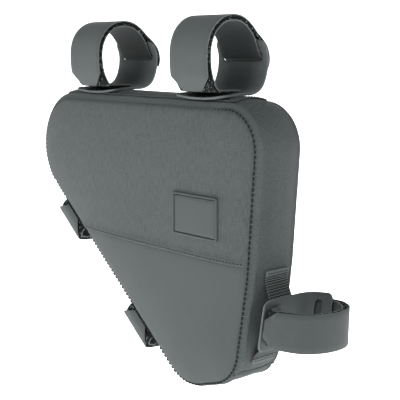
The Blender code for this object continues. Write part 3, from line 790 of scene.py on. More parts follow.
def coordinates(mesh):
    """Return a mesh's points."""
    points = np.empty(len(mesh.vertices) * 3)
    mesh.vertices.foreach_get("co", points)
    return points.reshape(-1, 3)


def swollen(points, hold):
    """Return points moved as the padding moved, by a share for each."""
    pad = padding()
    if pad is None:
        return points
    tree, moved = pad
    result = np.array(points, float)
    for k, (point, share) in enumerate(zip(points, hold)):
        if share < 0.01:
            continue
        near = tree.find_n(Vector(point), NEIGHBOURS)
        weights = np.array([1.0 / (distance + 0.001) ** 2 for _, _, distance in near])
        moves = moved[[index for _, index, _ in near]] * weights[:, None]
        result[k] += share * moves.sum(0) / weights.sum()
    return result


# Faces of the bag


def face_dome(depth):
    """Return how far a face stands proud of its seam at a depth inside the seam line."""
    share = np.clip(np.asarray(depth) / DOME_BORDER, 0.0, 1.0)
    return PANEL_DOME * (1 - (1 - share) ** 2)


def stitch_pulse(run, pitch):
    """Return 1 at each stitch's hole and 0 between."""
    return np.clip(np.cos(np.asarray(run) / pitch * TAU), 0.0, 1.0) ** 2


def face_height(depth, run):
    """Return the height of a face's cloth over its seam: dome, rolled edge and stitch puckers."""
    edge = (GROOVE + 0.0008) * np.exp(-depth / 0.0009)
    pucker = 0.0007 * stitch_pulse(run, sizes().stitch) * np.exp(-((depth - 0.0004) / 0.0014) ** 2)
    return face_dome(depth) + 0.0008 * (1 - np.exp(-depth / 0.003)) - edge - pucker


def lap_height(level):
    """Return the step, stitch groove and fade of the upper panel's lapped hem over the lower panel."""
    rise = sizes().lap * (1 - smoothstep(level, 3.2 * MM, 6 * MM) * 0.85)
    nose = smoothstep(level, -0.1 * MM, 0.7 * MM) * 0.7 + 0.3
    groove = 0.00045 * np.exp(-((level - LAP_ROW) / (0.35 * MM)) ** 2)
    return np.where(level >= -1e-7, rise * nose - groove, -0.0006 * np.exp(level / (1.1 * MM)))


def face_points(low, high):
    """Return the points (x, z) of a face's mesh between two heights."""
    count = int(seam_length() / sizes().stitch) * PUCKER_PER_STITCH
    runs = np.arange(count) * seam_length() / count
    line, normal, _ = at_run(runs)
    rings = [line - normal * inset * MM for inset in FACE_RINGS]
    rings += [(line - normal * inset * MM)[::skip] for inset, skip in FACE_WIDE_RINGS]
    xs, zs = (np.arange(a, b, FACE_GRID) for a, b in ((-0.165, 0.155), (-0.29, -0.04)))
    field = np.array([(x + (k % 2) * FACE_GRID / 2, z) for k, z in enumerate(zs) for x in xs])
    rings.append(field[nearest_field(field) > 0.0205])
    points = np.concatenate(rings)
    levels = LAP_LEVELS if high is None else UNDER_LEVELS
    rows = []
    if low is not None or high is not None:
        limit = low if low is not None else high
        points = points[(points[:, 1] > limit) == (low is not None)]
        step = seam_length() / count
        for k, level in enumerate(levels):
            z = limit + level * MM
            xs = np.arange(-0.12, 0.16, step if k < FINE_LEVELS else 2 * step)
            row = np.column_stack([xs, np.full(len(xs), z)])
            row = row[nearest_field(row) > 0]
            if k == 0:
                ends = edge_points(z)
                clear = (row[:, 0] > ends[0][0] + LAP_END_CLEAR) & (row[:, 0] < ends[1][0] - LAP_END_CLEAR)
                row = np.concatenate([ends, row[clear]])
            rows.append(row)
    return spaced(np.concatenate(rows + [points]), MESH_LEAST)


def edge_points(z):
    """Return the two places where the seam line crosses a height."""
    runs = np.linspace(0.0, seam_length(), 40000)
    line = at_run(runs)[0]
    cross = np.flatnonzero(np.diff(np.sign(line[:, 1] - z)))
    found = sorted((line[k] for k in cross), key=lambda point: point[0])
    return np.array([(found[0][0], z), (found[-1][0], z)])


def make_face(name, node, side, low, high, material):
    """Make one padded face between two heights, on the side of -Y (-1) or +Y (1)."""
    flat, faces = triangles_of(face_points(low, high))
    depth, run = nearest_seam(flat)
    height = face_height(depth, run)
    if low is not None:
        height = height + lap_height(flat[:, 1] - low)
    if high is not None:
        height = height + lap_height(np.minimum(flat[:, 1] - high, -2e-7))
    calm = smoothstep(depth, 0.0, 0.012)
    wrinkle = ripple(flat[:, 0], np.full(len(flat), side * 0.3), flat[:, 1], 22) * 0.00035 * calm
    gather = ripple(run * 3.2, depth * 0.6, np.full(len(flat), float(side)), 42) * 0.0004
    height = height + wrinkle + gather * np.exp(-((depth - 0.004) / 0.004) ** 2)
    points = np.column_stack([flat[:, 0], side * (HALF_DEPTH + height), flat[:, 1]])
    points = swollen(points, smoothstep(depth, 0.002, 0.014))
    mesh = mesh_of(name, points, faces, flat)
    turn_outward(mesh, side)
    return thicken(finish_piece(name, mesh, [material], node))


def thicken(piece):
    """Give a padded piece the thickness of its cloth."""
    skin = piece.modifiers.new("skin", "SOLIDIFY")
    skin.thickness, skin.offset = SKIN, -1.0
    return piece


def turn_outward(mesh, side):
    """Turn a face's normals away from the bag."""
    normals = np.array([p.normal[1] for p in mesh.polygons])
    if normals.mean() * side < 0:
        mesh.flip_normals()


def wall_runs(start, end, pitch):
    """Return the runs of a side wall's columns, closer together at both ends."""
    end = start + (end - start) % seam_length()
    count = int((end - start) / pitch * PUCKER_PER_STITCH)
    ends = np.array([0.0, 0.25, 0.6, 1.1, 1.8, 2.6]) * MM
    middle = np.linspace(start + 3.4 * MM, end - 3.4 * MM, count)
    return np.concatenate([start + ends, middle, end - ends[::-1]])


def make_wall(name, node, start, end, lapped):
    """Make one length of the side wall, with its rolls, puckers and turned ends."""
    pitch = seam_length() / int(seam_length() / sizes().stitch)
    runs = wall_runs(start, end, pitch)
    line, normal, swell = at_run(runs)
    ys = np.array([-row for row in WALL_ROWS] + [0.0] + list(WALL_ROWS[::-1])) * MM
    edge = np.minimum(runs - runs[0], runs[-1] - runs)
    dip = 0.0022 * np.exp(-edge / 0.0010)
    if lapped:
        dip = dip - 0.0007 * np.exp(-((edge - 1.7 * MM) / 1.5e-3) ** 2)
        dip = dip + 0.0010 * np.exp(-((edge - 3.6 * MM) / 5e-4) ** 2)
    points, plane, hold = [], [], []
    for y in ys:
        rim = HALF_DEPTH - abs(y)
        out = wall_out(y, swell) - dip * smoothstep(rim, 0.0, 0.002)
        out = out - GROOVE * 0.9 * math.exp(-rim / 0.00035) + 0.0001
        out = out - 0.0007 * stitch_pulse(runs, pitch) * math.exp(-((rim - 0.0006) / 0.0012) ** 2)
        pucker = ripple(runs, np.full(len(runs), y * 0.5), np.zeros(len(runs)), 75, 7.0 * np.sign(y))
        out = out + pucker * 0.00035 * math.exp(-((rim - 0.0045) / 0.0045) ** 2)
        wave = ripple(line[:, 0], np.full(len(runs), y), line[:, 1], 26, 3.0)
        out = out + wave * 0.0004 * smoothstep(rim, 0, 0.01)
        place = line + normal * out[:, None]
        points.append(np.column_stack([place[:, 0], np.full(len(runs), y), place[:, 1]]))
        plane.append(np.column_stack([runs, np.full(len(runs), y)]))
        hold.append(np.full(len(runs), float(smoothstep(rim, 0.002, 0.010))))
    points, plane, hold = (np.concatenate(v) for v in (points, plane, hold))
    points = swollen(points, hold)
    mesh = mesh_of(name, points, grid_faces(len(ys), len(runs)), plane)
    sample = mesh.polygons[len(mesh.polygons) // 2]
    middle = np.array(at_run(plane[sample.vertices[0]][0])[1])
    if sample.normal[0] * middle[0] + sample.normal[2] * middle[1] < 0:
        mesh.flip_normals()
    thicken(finish_piece(name, mesh, [twill_finish()], node))


# Stitches


def stitch_row(name, path, normals, pitch, length, sink=0.35, thick=0.5):
    """Make a row of stitches along a path: short threads that dive into the cloth at both ends."""
    path, normals = np.asarray(path, float), np.asarray(normals, float)
    runs = runs_along(path)
    radius = sizes().thread * thick

    def at(run):
        point = np.array([np.interp(run, runs, path[:, k]) for k in range(3)])
        up = unit([np.interp(run, runs, normals[:, k]) for k in range(3)])
        return point, up

    sides, points, faces = STITCH_SIDES, [], []
    for k in range(int((runs[-1] - length) / pitch) + 1):
        first = len(points)
        start = k * pitch + (pitch - length) / 2
        for share, girth, lift in STITCH_RINGS:
            point, up = at(start + share * length)
            ahead, _ = at(start + share * length + 0.0003)
            behind, _ = at(start + share * length - 0.0003)
            along = unit(ahead - behind)
            across = unit(np.cross(along, up))
            middle = point + up * radius * (lift - sink)
            for j in range(sides):
                angle = TAU * j / sides
                points.append(middle + (across * math.cos(angle) + up * math.sin(angle)) * radius * girth)
        for r in range(len(STITCH_RINGS) - 1):
            for j in range(sides):
                a, b = first + r * sides + j, first + r * sides + (j + 1) % sides
                faces.append((a, b, b + sides, a + sides))
        faces.append(tuple(range(first, first + sides)))
        last = first + (len(STITCH_RINGS) - 1) * sides
        faces.append(tuple(range(last, last + sides))[::-1])
    finish_piece(name, mesh_of(name, points, faces, [(p[0], p[2]) for p in points]), [thread_finish()])


# Flat-cut pieces


def cut_sheet(outline, holes, spacing):
    """Return the points and triangles of a flat sheet with holes, finer at its edges."""
    rings = [np.asarray(outline, float)] + [np.asarray(h, float) for h in holes]
    points, loops = [], []
    for ring in rings:
        loops.append(list(range(len(points), len(points) + len(ring))))
        points += [tuple(p) for p in ring]
    low, high = rings[0].min(0), rings[0].max(0)
    across = np.linspace(low[0], high[0], max(3, int((high[0] - low[0]) / spacing[0]) + 1))[1:-1]
    along = np.linspace(low[1], high[1], max(3, int((high[1] - low[1]) / spacing[1]) + 1))[1:-1]
    edge = np.concatenate(rings)
    for u in across:
        for v in along:
            clear = np.hypot((edge[:, 0] - u) / spacing[0], (edge[:, 1] - v) / spacing[1]).min() > 0.42
            if clear and inside(rings[0], u, v) and not any(inside(h, u, v) for h in rings[1:]):
                points.append((u, v))
    edges = [(loop[k], loop[(k + 1) % len(loop)]) for loop in loops for k in range(len(loop))]
    made = delaunay_2d_cdt([Vector(p) for p in points], edges, [], 0, 1e-8)
    flat = np.array([tuple(p) for p in made[0]])
    keep = []
    for face in made[2]:
        u, v = flat[list(face)].mean(0)
        if inside(rings[0], u, v) and not any(inside(h, u, v) for h in rings[1:]):
            keep.append(tuple(face))
    return flat, keep


def inside(ring, u, v):
    """Return whether a point lies inside a closed outline."""
    x, y = ring[:, 0], ring[:, 1]
    x2, y2 = np.roll(x, -1), np.roll(y, -1)
    crosses = (y > v) != (y2 > v)
    reach = x + (v - y) / np.where(y2 == y, 1e-12, y2 - y) * (x2 - x)
    return bool((crosses & (u < reach)).sum() % 2)


def sheet_solid(name, flat, faces, place, top, bottom, round_edge, rough=None):
    """Return a closed mesh of a flat-cut sheet laid along place(u, v, off), with rounded edges."""
    count = {}
    for face in faces:
        for a, b in zip(face, face[1:] + face[:1]):
            count[(a, b)] = count.get((a, b), 0) + 1
    border = [(a, b) for a, b in count if (b, a) not in count]
    push = {}
    for a, b in border:
        step = unit(flat[b] - flat[a])
        for k in (a, b):
            push[k] = push.get(k, np.zeros(2)) + np.array([step[1], -step[0]])
    area = sum(np.cross(flat[f[1]] - flat[f[0]], flat[f[2]] - flat[f[0]]) for f in faces[:50])
    sign = 1.0 if area > 0 else -1.0
    size = len(flat)
    shake = np.zeros((size, 2)) if rough is None else rough(flat)
    points = [place(u, v, top + s) for (u, v), (s, _) in zip(flat, shake)]
    points += [place(u, v, bottom - s) for (u, v), (_, s) in zip(flat, shake)]
    plane = [tuple(p) for p in flat] * 2
    solid = list(faces) + [tuple(k + size for k in f[::-1]) for f in faces]
    indexes = [0] * len(faces) + [1] * len(faces)
    rim = {}
    for k, out in push.items():
        u, v = flat[k] + unit(out) * round_edge * sign
        rim[k] = len(points)
        points += [place(u, v, top - round_edge), place(u, v, bottom + round_edge)]
        plane += [(u, v), (u, v)]
    for a, b in border:
        solid += [(b, a, rim[a], rim[b]), (rim[b], rim[a], rim[a] + 1, rim[b] + 1),
                  (rim[b] + 1, rim[a] + 1, a + size, b + size)]
        indexes += [2, 2, 2]
    return mesh_of(name, points, solid, plane, indexes)


def rounded_box(left, right, low, high, radius, steps=5, lead=0.003):
    """Return the outline of a rectangle with rounded corners and points along its sides."""
    corners = ((right - radius, high - radius, 0), (left + radius, high - radius, 1),
               (left + radius, low + radius, 2), (right - radius, low + radius, 3))
    arc = [np.array([(x + radius * math.cos((quarter + k / steps) * math.pi / 2),
                      z + radius * math.sin((quarter + k / steps) * math.pi / 2)) for k in range(steps + 1)])
           for x, z, quarter in corners]
    return with_sides(arc, lead)


def with_sides(parts, lead):
    """Return one closed outline from its parts, with points along the straight sides between them."""
    outline = []
    for part, following in zip(parts, parts[1:] + parts[:1]):
        outline += [tuple(p) for p in part]
        gap = np.linalg.norm(following[0] - part[-1])
        count = max(1, int(gap / lead))
        outline += [tuple(part[-1] + (following[0] - part[-1]) * k / count) for k in range(1, count)]
    return np.array(outline)


# Straps


def catmull(points, closed, steps):
    """Return a smooth curve through points."""
    points = [np.asarray(p, float) for p in points]
    count = len(points)
    curve = []
    for k in range(count if closed else count - 1):
        if closed:
            a, b, c, d = (points[(k + j) % count] for j in (-1, 0, 1, 2))
        else:
            b, c = points[k], points[k + 1]
            a = points[k - 1] if k else 2 * b - c
            d = points[k + 2] if k + 2 < count else 2 * c - b
        for step in range(steps):
            t = step / steps
            curve.append(0.5 * (2 * b + (c - a) * t + (2 * a - 5 * b + 4 * c - d) * t ** 2
                                + (3 * b - 3 * c + d - a) * t ** 3))
    if not closed:
        curve.append(points[-1])
    return curve


class Lay:
    """The line that a strap is laid along, as a path of (y, out) with its side direction."""

    def __init__(self, path):
        path = np.array(path)
        for _ in range(3):
            path[1:-1] = (path[:-2] + 2 * path[1:-1] + path[2:]) / 4
        self.path = path
        self.runs = runs_along(path)
        self.length = float(self.runs[-1])
        ahead = np.gradient(path, self.runs, axis=0)
        side = np.stack([ahead[:, 1], -ahead[:, 0]], 1)
        self.side = side / np.linalg.norm(side, axis=1, keepdims=True)

    def at(self, run):
        """Return the point and the side direction at a run."""
        mix = [np.interp(run, self.runs, c) for c in (*self.path.T, *self.side.T)]
        return np.array(mix[:2]), unit(mix[2:])


def loop_line(strap):
    """Return the closed line between a strap's head and the band inside it, with its runs."""
    base = STRAP_THICKNESS + GAP + (STRAP_PITCH - STRAP_THICKNESS) / 2
    rows = [(strap.shift + t.across * strap.span / 2, base + t.out * strap.reach) for t in strap.loop]
    points = np.array([(y, max(out, base)) for y, out in catmull(rows, True, ROUTE_STEPS)])
    closed = np.concatenate([points, points[:1]])
    return closed, runs_along(closed)


def off_line(line, run, layer):
    """Return the point a number of strap pitches outside a loop line at a run."""
    closed, runs = line

    def at(value):
        return np.array([np.interp(value % runs[-1], runs, closed[:, k]) for k in (0, 1)])

    step = runs[-1] / 100
    along = unit(at(run + step) - at(run - step))
    return at(run) + np.array([along[1], -along[0]]) * layer * STRAP_PITCH


def band_path(strap):
    """Return the path of a band: inside, round its fold, and back over itself."""
    line = loop_line(strap)
    length = line[1][-1]
    tail = (Step("loop", strap.tail_end - TAIL_LIFT, (OUTER_ROUTE[-1].layer + strap.tail_layer) / 2),
            Step("loop", strap.tail_end, strap.tail_layer))
    scales = {"slot": SLOT_LENGTH, "loop": length}
    steps = INNER_ROUTE + strap.fold + OUTER_ROUTE + tail
    rows = [(step.place * scales[step.unit], step.layer * STRAP_PITCH) for step in steps]
    return [off_line(line, run, out / STRAP_PITCH) for run, out in catmull(rows, False, ROUTE_STEPS)]


def head_path(strap):
    """Return the path of a head from its lip, and the run of its slot's middle."""
    line = loop_line(strap)
    start = (HEAD_START - 1) * line[1][-1]
    runs = np.concatenate([np.linspace(start, 0.0, 90), np.linspace(0.0, HEAD_END, 16)[1:]])
    path = [off_line(line, run, 0.5) for run in runs]
    lip = np.array([strap.lip, path[0][1] - strap.sag])
    flat = [lip + (path[0] - lip) * k / 12 for k in range(12)]
    before = np.linalg.norm(path[0] - lip) + sum(np.linalg.norm(b - a) for a, b in zip(path[:89], path[1:90]))
    return flat + path, before


def strap_place(strap, lay, base, out, across_up, bow):
    """Return the function that lays a flat point (u, v) of a strap into the part's frame."""
    base, out, across_up = (np.asarray(v, float) for v in (base, out, across_up))

    def place(u, v, off):
        point, side = lay.at(min(max(v, 0.0), lay.length))
        point = point + side * off
        beyond = v - min(max(v, 0.0), lay.length)
        point = point + np.array([-side[1], side[0]]) * beyond
        y, far = point
        share = max(far, 0.0) / strap.reach
        lean = math.radians(strap.lean) * min(share, 1.0)
        up = across_up * math.cos(lean) - out * math.sin(lean)
        if bow:
            far -= bow * (1 - (2 * u / strap.head) ** 2) * (1 - smoothstep(v, 0.0, LIP_BOW_LENGTH))
        x, z = base + out * far + across_up * strap.rise * share + up * u
        return (x, y, z)

    return place


def face_of(strap):
    """Return the finish of a strap's smooth faces: for the seat strap a darker copy, painted shade."""
    return strap_finish(NARROW_TAPE_PAINTED_SHADE if strap is SEAT else 1.0)


def mark_run(mesh, first, flat, faces, reach):
    """Give the fourth finish to one side of a strap, from its start up to a reach."""
    for k, face in enumerate(faces):
        if flat[list(face), 1].mean() < reach:
            mesh.polygons[first + k].material_index = FOURTH_FINISH


def make_head(strap, base, out, across_up, bow):
    """Make a head: a flat-cut piece with rounded corners and a slot."""
    path, middle = head_path(strap)
    lay = Lay(path)
    edge = ROUND_EDGE
    half = strap.head / 2 - edge
    outline = rounded_box(-half, half, edge, lay.length - edge, HEAD_CORNER, 7)
    wide, tall = strap.band / 2 + SLOT_MARGIN, SLOT_LENGTH / 2
    slot = rounded_box(-wide - edge, wide + edge, middle - tall - edge, middle + tall + edge, tall, 6)
    flat, faces = cut_sheet(outline, [slot[::-1]], (0.004, 0.0022))
    place = strap_place(strap, lay, base, out, across_up, bow)
    name, top = strap.name + "_head", STRAP_THICKNESS / 2
    mesh = sheet_solid(name, flat, faces, place, top, -top, edge)
    if bow:
        mark_run(mesh, len(faces), flat, faces, LIP_PILE)
    # lining copy: painted shade on the narrow strap, partly its own darker tone; painted light on the others
    lining = lining_finish(NARROW_LINING_TONE_AND_SHADE if strap is SEAT else WIDE_LINING_PAINTED_LIGHT)
    piece = finish_piece(name, mesh, [face_of(strap), lining, cut_finish(), pile_finish()], name)


def make_band(strap, base, out, across_up):
    """Make a band: its smooth face with light cut edges, a darker copy of that face inside its loop as
    painted shade, and the pile on its other side.
    """
    lay = Lay(band_path(strap))
    edge = ROUND_EDGE
    half = strap.band / 2 - edge
    narrow = strap.band / 2 * (1 - 2 * TAIL_CUT)
    end = lay.length - edge
    tip = np.array([(narrow, end), (-narrow, end)])
    shoulder = np.array([(-half, end - TAIL_TAPER)])
    start = np.array([(-half, edge), (half, edge)])
    outline = with_sides([np.array([(half, end - TAIL_TAPER)]), tip, shoulder, start], 0.003)
    flat, faces = cut_sheet(outline, [], (0.0045, 0.0020))
    place = strap_place(strap, lay, base, out, across_up, 0.0)
    top = STRAP_THICKNESS / 2
    mesh = sheet_solid(strap.name + "_band", flat, faces, place, top, top - FACE_DEPTH, edge)
    # inside the loop the band's face takes the darker copy, painted shade
    inner_end = HEAD_START * loop_line(strap)[1][-1] + SLOT_LENGTH / 4
    mark_run(mesh, 0, flat, faces, inner_end)
    finishes = [face_of(strap), pile_finish(), cut_finish(), lining_finish(BAND_INSIDE_PAINTED_SHADE)]
    band = finish_piece(strap.name + "_band", mesh, finishes, strap.name + "_band")
    inner = outline * (1 - PILE_INSET / np.array([half, lay.length / 2]))
    inner[:, 1] += PILE_INSET
    flat, faces = cut_sheet(inner, [], (0.0030, 0.0022))

    def tufts(points):
        lower = ripple(points[:, 0], points[:, 1], np.zeros(len(points)), 700, 11.0) * 0.0003
        return np.column_stack([np.zeros(len(points)), lower])

    under = top - FACE_DEPTH
    mesh = sheet_solid(strap.name + "_pile", flat, faces, place, under - 0.00005, under - PILE_DEPTH,
                       ROUND_EDGE, tufts)
    pile = finish_piece(strap.name + "_pile", mesh, [pile_finish()] * 3)


def dress_strap(strap, base, out, across_up, bow=0.0):
    """Make one strap's head, band and pile on a base point."""
    make_head(strap, base, out, across_up, bow)
    make_band(strap, base, out, across_up)


# Pieces


def make_front_panels():
    """Make the two front panels and the thread of the lapped seam between them."""
    upper = make_face("front_upper", "front_upper_panel", -1, SPLIT, None, woven_finish())
    make_face("front_lower", "front_lower_panel", -1, None, SPLIT, smooth_finish())
    follow_row("lap_thread", upper, SPLIT + LAP_ROW, sizes().lap_stitch)


def follow_row(name, piece, z, pitch):
    """Sew a level row of stitches into a face."""
    ends = edge_points(z)
    xs = np.arange(ends[0][0] + 0.003, ends[1][0] - 0.003, 0.001)
    points = coordinates(piece.data)
    near = points[np.abs(points[:, 2] - z) < 0.0012]
    order = near[near[:, 0].argsort()]
    ys = np.interp(xs, order[:, 0], order[:, 1])
    ys = np.convolve(np.pad(ys, 4, mode="edge"), np.ones(9) / 9, mode="valid")
    path = np.column_stack([xs, ys, np.full(len(xs), z)])
    normals = np.tile([0.0, -1.0, 0.0], (len(xs), 1))
    stitch_row(name, path, normals, pitch, pitch * 0.66, 0.2)


def make_side_walls():
    """Make the side wall's two lengths and the thread in the perimeter seam."""
    nose = (corner_run(NOSE, 0) + corner_run(NOSE, 1)) / 2
    foot = corner_run(SEAT_FOOT, 0) * (1 - FOOT_SEAM) + corner_run(SEAT_FOOT, 1) * FOOT_SEAM
    make_wall("side_wall_top", "gusset_top_seat", nose + GAP / 2, foot - GAP / 2, True)
    make_wall("side_wall_lower", "gusset_lower", foot + GAP / 2, nose - GAP / 2, False)
    count = int(seam_length() / sizes().stitch)
    pitch = seam_length() / count
    runs = (np.arange(count * 4 + 1) / 4 + 0.5) * pitch
    line, normal, _ = at_run(runs)
    for name, side in (("front_perimeter_thread", -1), ("back_perimeter_thread", 1)):
        top = smoothstep(runs, corner_run(NOSE, 0), corner_run(NOSE, 1))
        top = top * (1 - smoothstep(runs, corner_run(SEAT_TOP, 0) - 0.02, corner_run(SEAT_TOP, 0) + 0.01))
        place = line - normal * (0.0002 + 0.0006 * top)[:, None]
        path = np.column_stack([place[:, 0], side * (HALF_DEPTH - 0.0001 - 0.0007 * top), place[:, 1]])
        up = np.column_stack([normal[:, 0], np.full(len(runs), side * 1.0), normal[:, 1]])
        stitch_row(name, path, up, pitch, pitch * 0.86, 0.2, 1.15)


def make_hidden_face():
    """Make the hidden face and its plain closed zip."""
    make_face("back", "back_panel", 1, None, None, twill_finish())
    z = -TUBE_TO_TOP - ZIP_DROP
    flat = HALF_DEPTH + PANEL_DOME + 0.0012
    count = int(ZIP_LENGTH / 0.00055)
    xs = np.linspace(-ZIP_LENGTH / 2, ZIP_LENGTH / 2, count)
    half = ZIP_TAPE / 2
    lower = [(-half, -1.4), (-half, 0.35), (-half + 0.0008, 0.6), (-0.0030, 0.6), (-0.0027, 0.5),
             (-0.0021, 1.05), (-0.0012, 1.3), (-0.0003, 1.2)]
    section = lower + [(0.0, 0.95)] + [(-up, rise) for up, rise in lower[::-1]]
    points, plane = [], []
    for up, rise in section:
        phase = math.pi if up > 0 else 0
        tooth = np.where(abs(up) < 0.0024, TOOTH_DEPTH * np.cos(xs / TOOTH_PITCH * TAU + phase), 0.0)
        for x, extra in zip(xs, tooth):
            points.append((x, flat + rise * MM + (extra if 0.9 < rise else 0.0), z + up))
            plane.append((x, up))
    starts = [r * count for r in range(len(section))]
    faces = grid_faces(len(section), count)
    faces += [tuple(starts), tuple(start + count - 1 for start in starts)[::-1]]
    faces += [(c, c + 1, starts[-1] + c + 1, starts[-1] + c) for c in range(count - 1)]
    points = swollen(points, np.ones(len(points)))
    finish_piece("zip", mesh_of("zip", points, faces, plane), [coil_finish()], "back_zip", 35)
    sewn = ZIP_LENGTH / 2 - 0.002
    for name, offset in (("zip_thread_upper", half - 0.0022), ("zip_thread_lower", -half + 0.0022)):
        path = [(x, flat + 0.0006, z + offset) for x in np.linspace(-sewn, sewn, 90)]
        path = swollen(path, np.ones(len(path)))
        stitch_row(name, path, np.tile([0.0, 1.0, 0.0], (90, 1)), 0.0030, 0.0020)


def make_label():
    """Make the moulded label: rounded edges, a raised rim, a groove and a bare field."""
    x0 = SEAT_SIDE - LABEL_TO_SEAT
    z0 = -TUBE_TO_TOP - LABEL_DROP
    width, height, _ = LABEL
    y0 = -HALF_DEPTH - PANEL_DOME - 0.0008
    rows = ((0.0, -0.9), (0.0, 1.9), (0.12, 2.2), (0.35, 2.4), (1.45, 2.4), (1.62, 2.32), (1.75, 2.1),
            (1.85, 1.0), (2.15, 0.7), (2.5, 1.0), (2.62, 1.62), (2.8, 1.72), (6.0, 1.74), (12.0, 1.74))
    points, plane = [], []
    for inset, rise in rows:
        w, h = width / 2 - inset * MM, height / 2 - inset * MM
        radius = max(0.0018 - inset * MM * 0.4, 0.0008)
        ring = rounded_box(-w, w, -h, h, radius, 5, 1.0)
        for x, z in ring:
            points.append((x0 + x, y0 - rise * MM, z0 + z))
            plane.append((x, z))
    count = len(ring)
    faces = []
    for r in range(len(rows) - 1):
        for k in range(count):
            j = (k + 1) % count
            faces.append((r * count + k, r * count + j, (r + 1) * count + j, (r + 1) * count + k))
    faces += [tuple(range(count)), tuple(range((len(rows) - 1) * count, len(rows) * count))]
    points = swollen(points, np.ones(len(points)))
    finish_piece("label", mesh_of("label", points, faces, plane), [moulded_finish()], "label_patch", 60)


def make_top_patch():
    """Make the strip sewn on the top wall, and its stitches."""
    start = run_at_x(SEAT_SIDE - PATCH_FROM_SEAT - PATCH_LENGTH)
    end = run_at_x(SEAT_SIDE - PATCH_FROM_SEAT)
    length, half, edge = end - start, PATCH_WIDTH / 2, 0.0004
    outline = rounded_box(-half + edge, half - edge, edge, length - edge, 0.004, 5, 0.004)
    flat, faces = cut_sheet(outline, [], (0.0025, 0.0045))

    def arch(run):
        return 0.0005 * np.exp(-((run - (end - 0.030)) / 0.013) ** 2)

    def place(u, v, off):
        line, normal, swell = at_run(start + v)
        side = abs(u) / half
        out = float(wall_out(u, swell)) + GAP + off + float(arch(start + v)) * (1 - 0.3 * side)
        x, z = line + normal * out
        return (x, u, z)

    def rough(points):
        wave = ripple(points[:, 1], points[:, 0], np.zeros(len(points)), 60, 2.0) * 0.00025
        return np.column_stack([wave, np.zeros(len(points))])

    mesh = sheet_solid("top_strip", flat, faces, place, PATCH_THICKNESS, 0.0, edge, rough)
    piece = finish_piece("top_strip", mesh, [twill_finish()] * 3, "top_patch")
    rows = [(u, np.linspace(0.004, length - 0.004, 240), True) for u in (-0.0172, 0.0172)]
    rows += [(v, np.linspace(-0.0165, 0.0165, 40), False) for v in (0.0035, length - 0.0035, length - 0.0065)]
    for k, (fixed, span, lengthwise) in enumerate(rows):
        spots = [(fixed, s) if lengthwise else (s, fixed) for s in span]
        path = [place(u, v, PATCH_THICKNESS) for u, v in spots]
        normals = [at_normal(start + (s if lengthwise else fixed)) for s in span]
        stitch_row(f"top_strip_thread_{k + 1}", path, normals, 0.0036, 0.0024, 0.1)


def at_normal(run):
    """Return the outward normal of the seam line at a run as (x, 0, z)."""
    normal = at_run(run)[1]
    return (normal[0], 0.0, normal[1])


def webbing_run():
    """Return the run of the webbing's middle."""
    return run_at_z(-TUBE_TO_TOP - WEBBING_DROP)


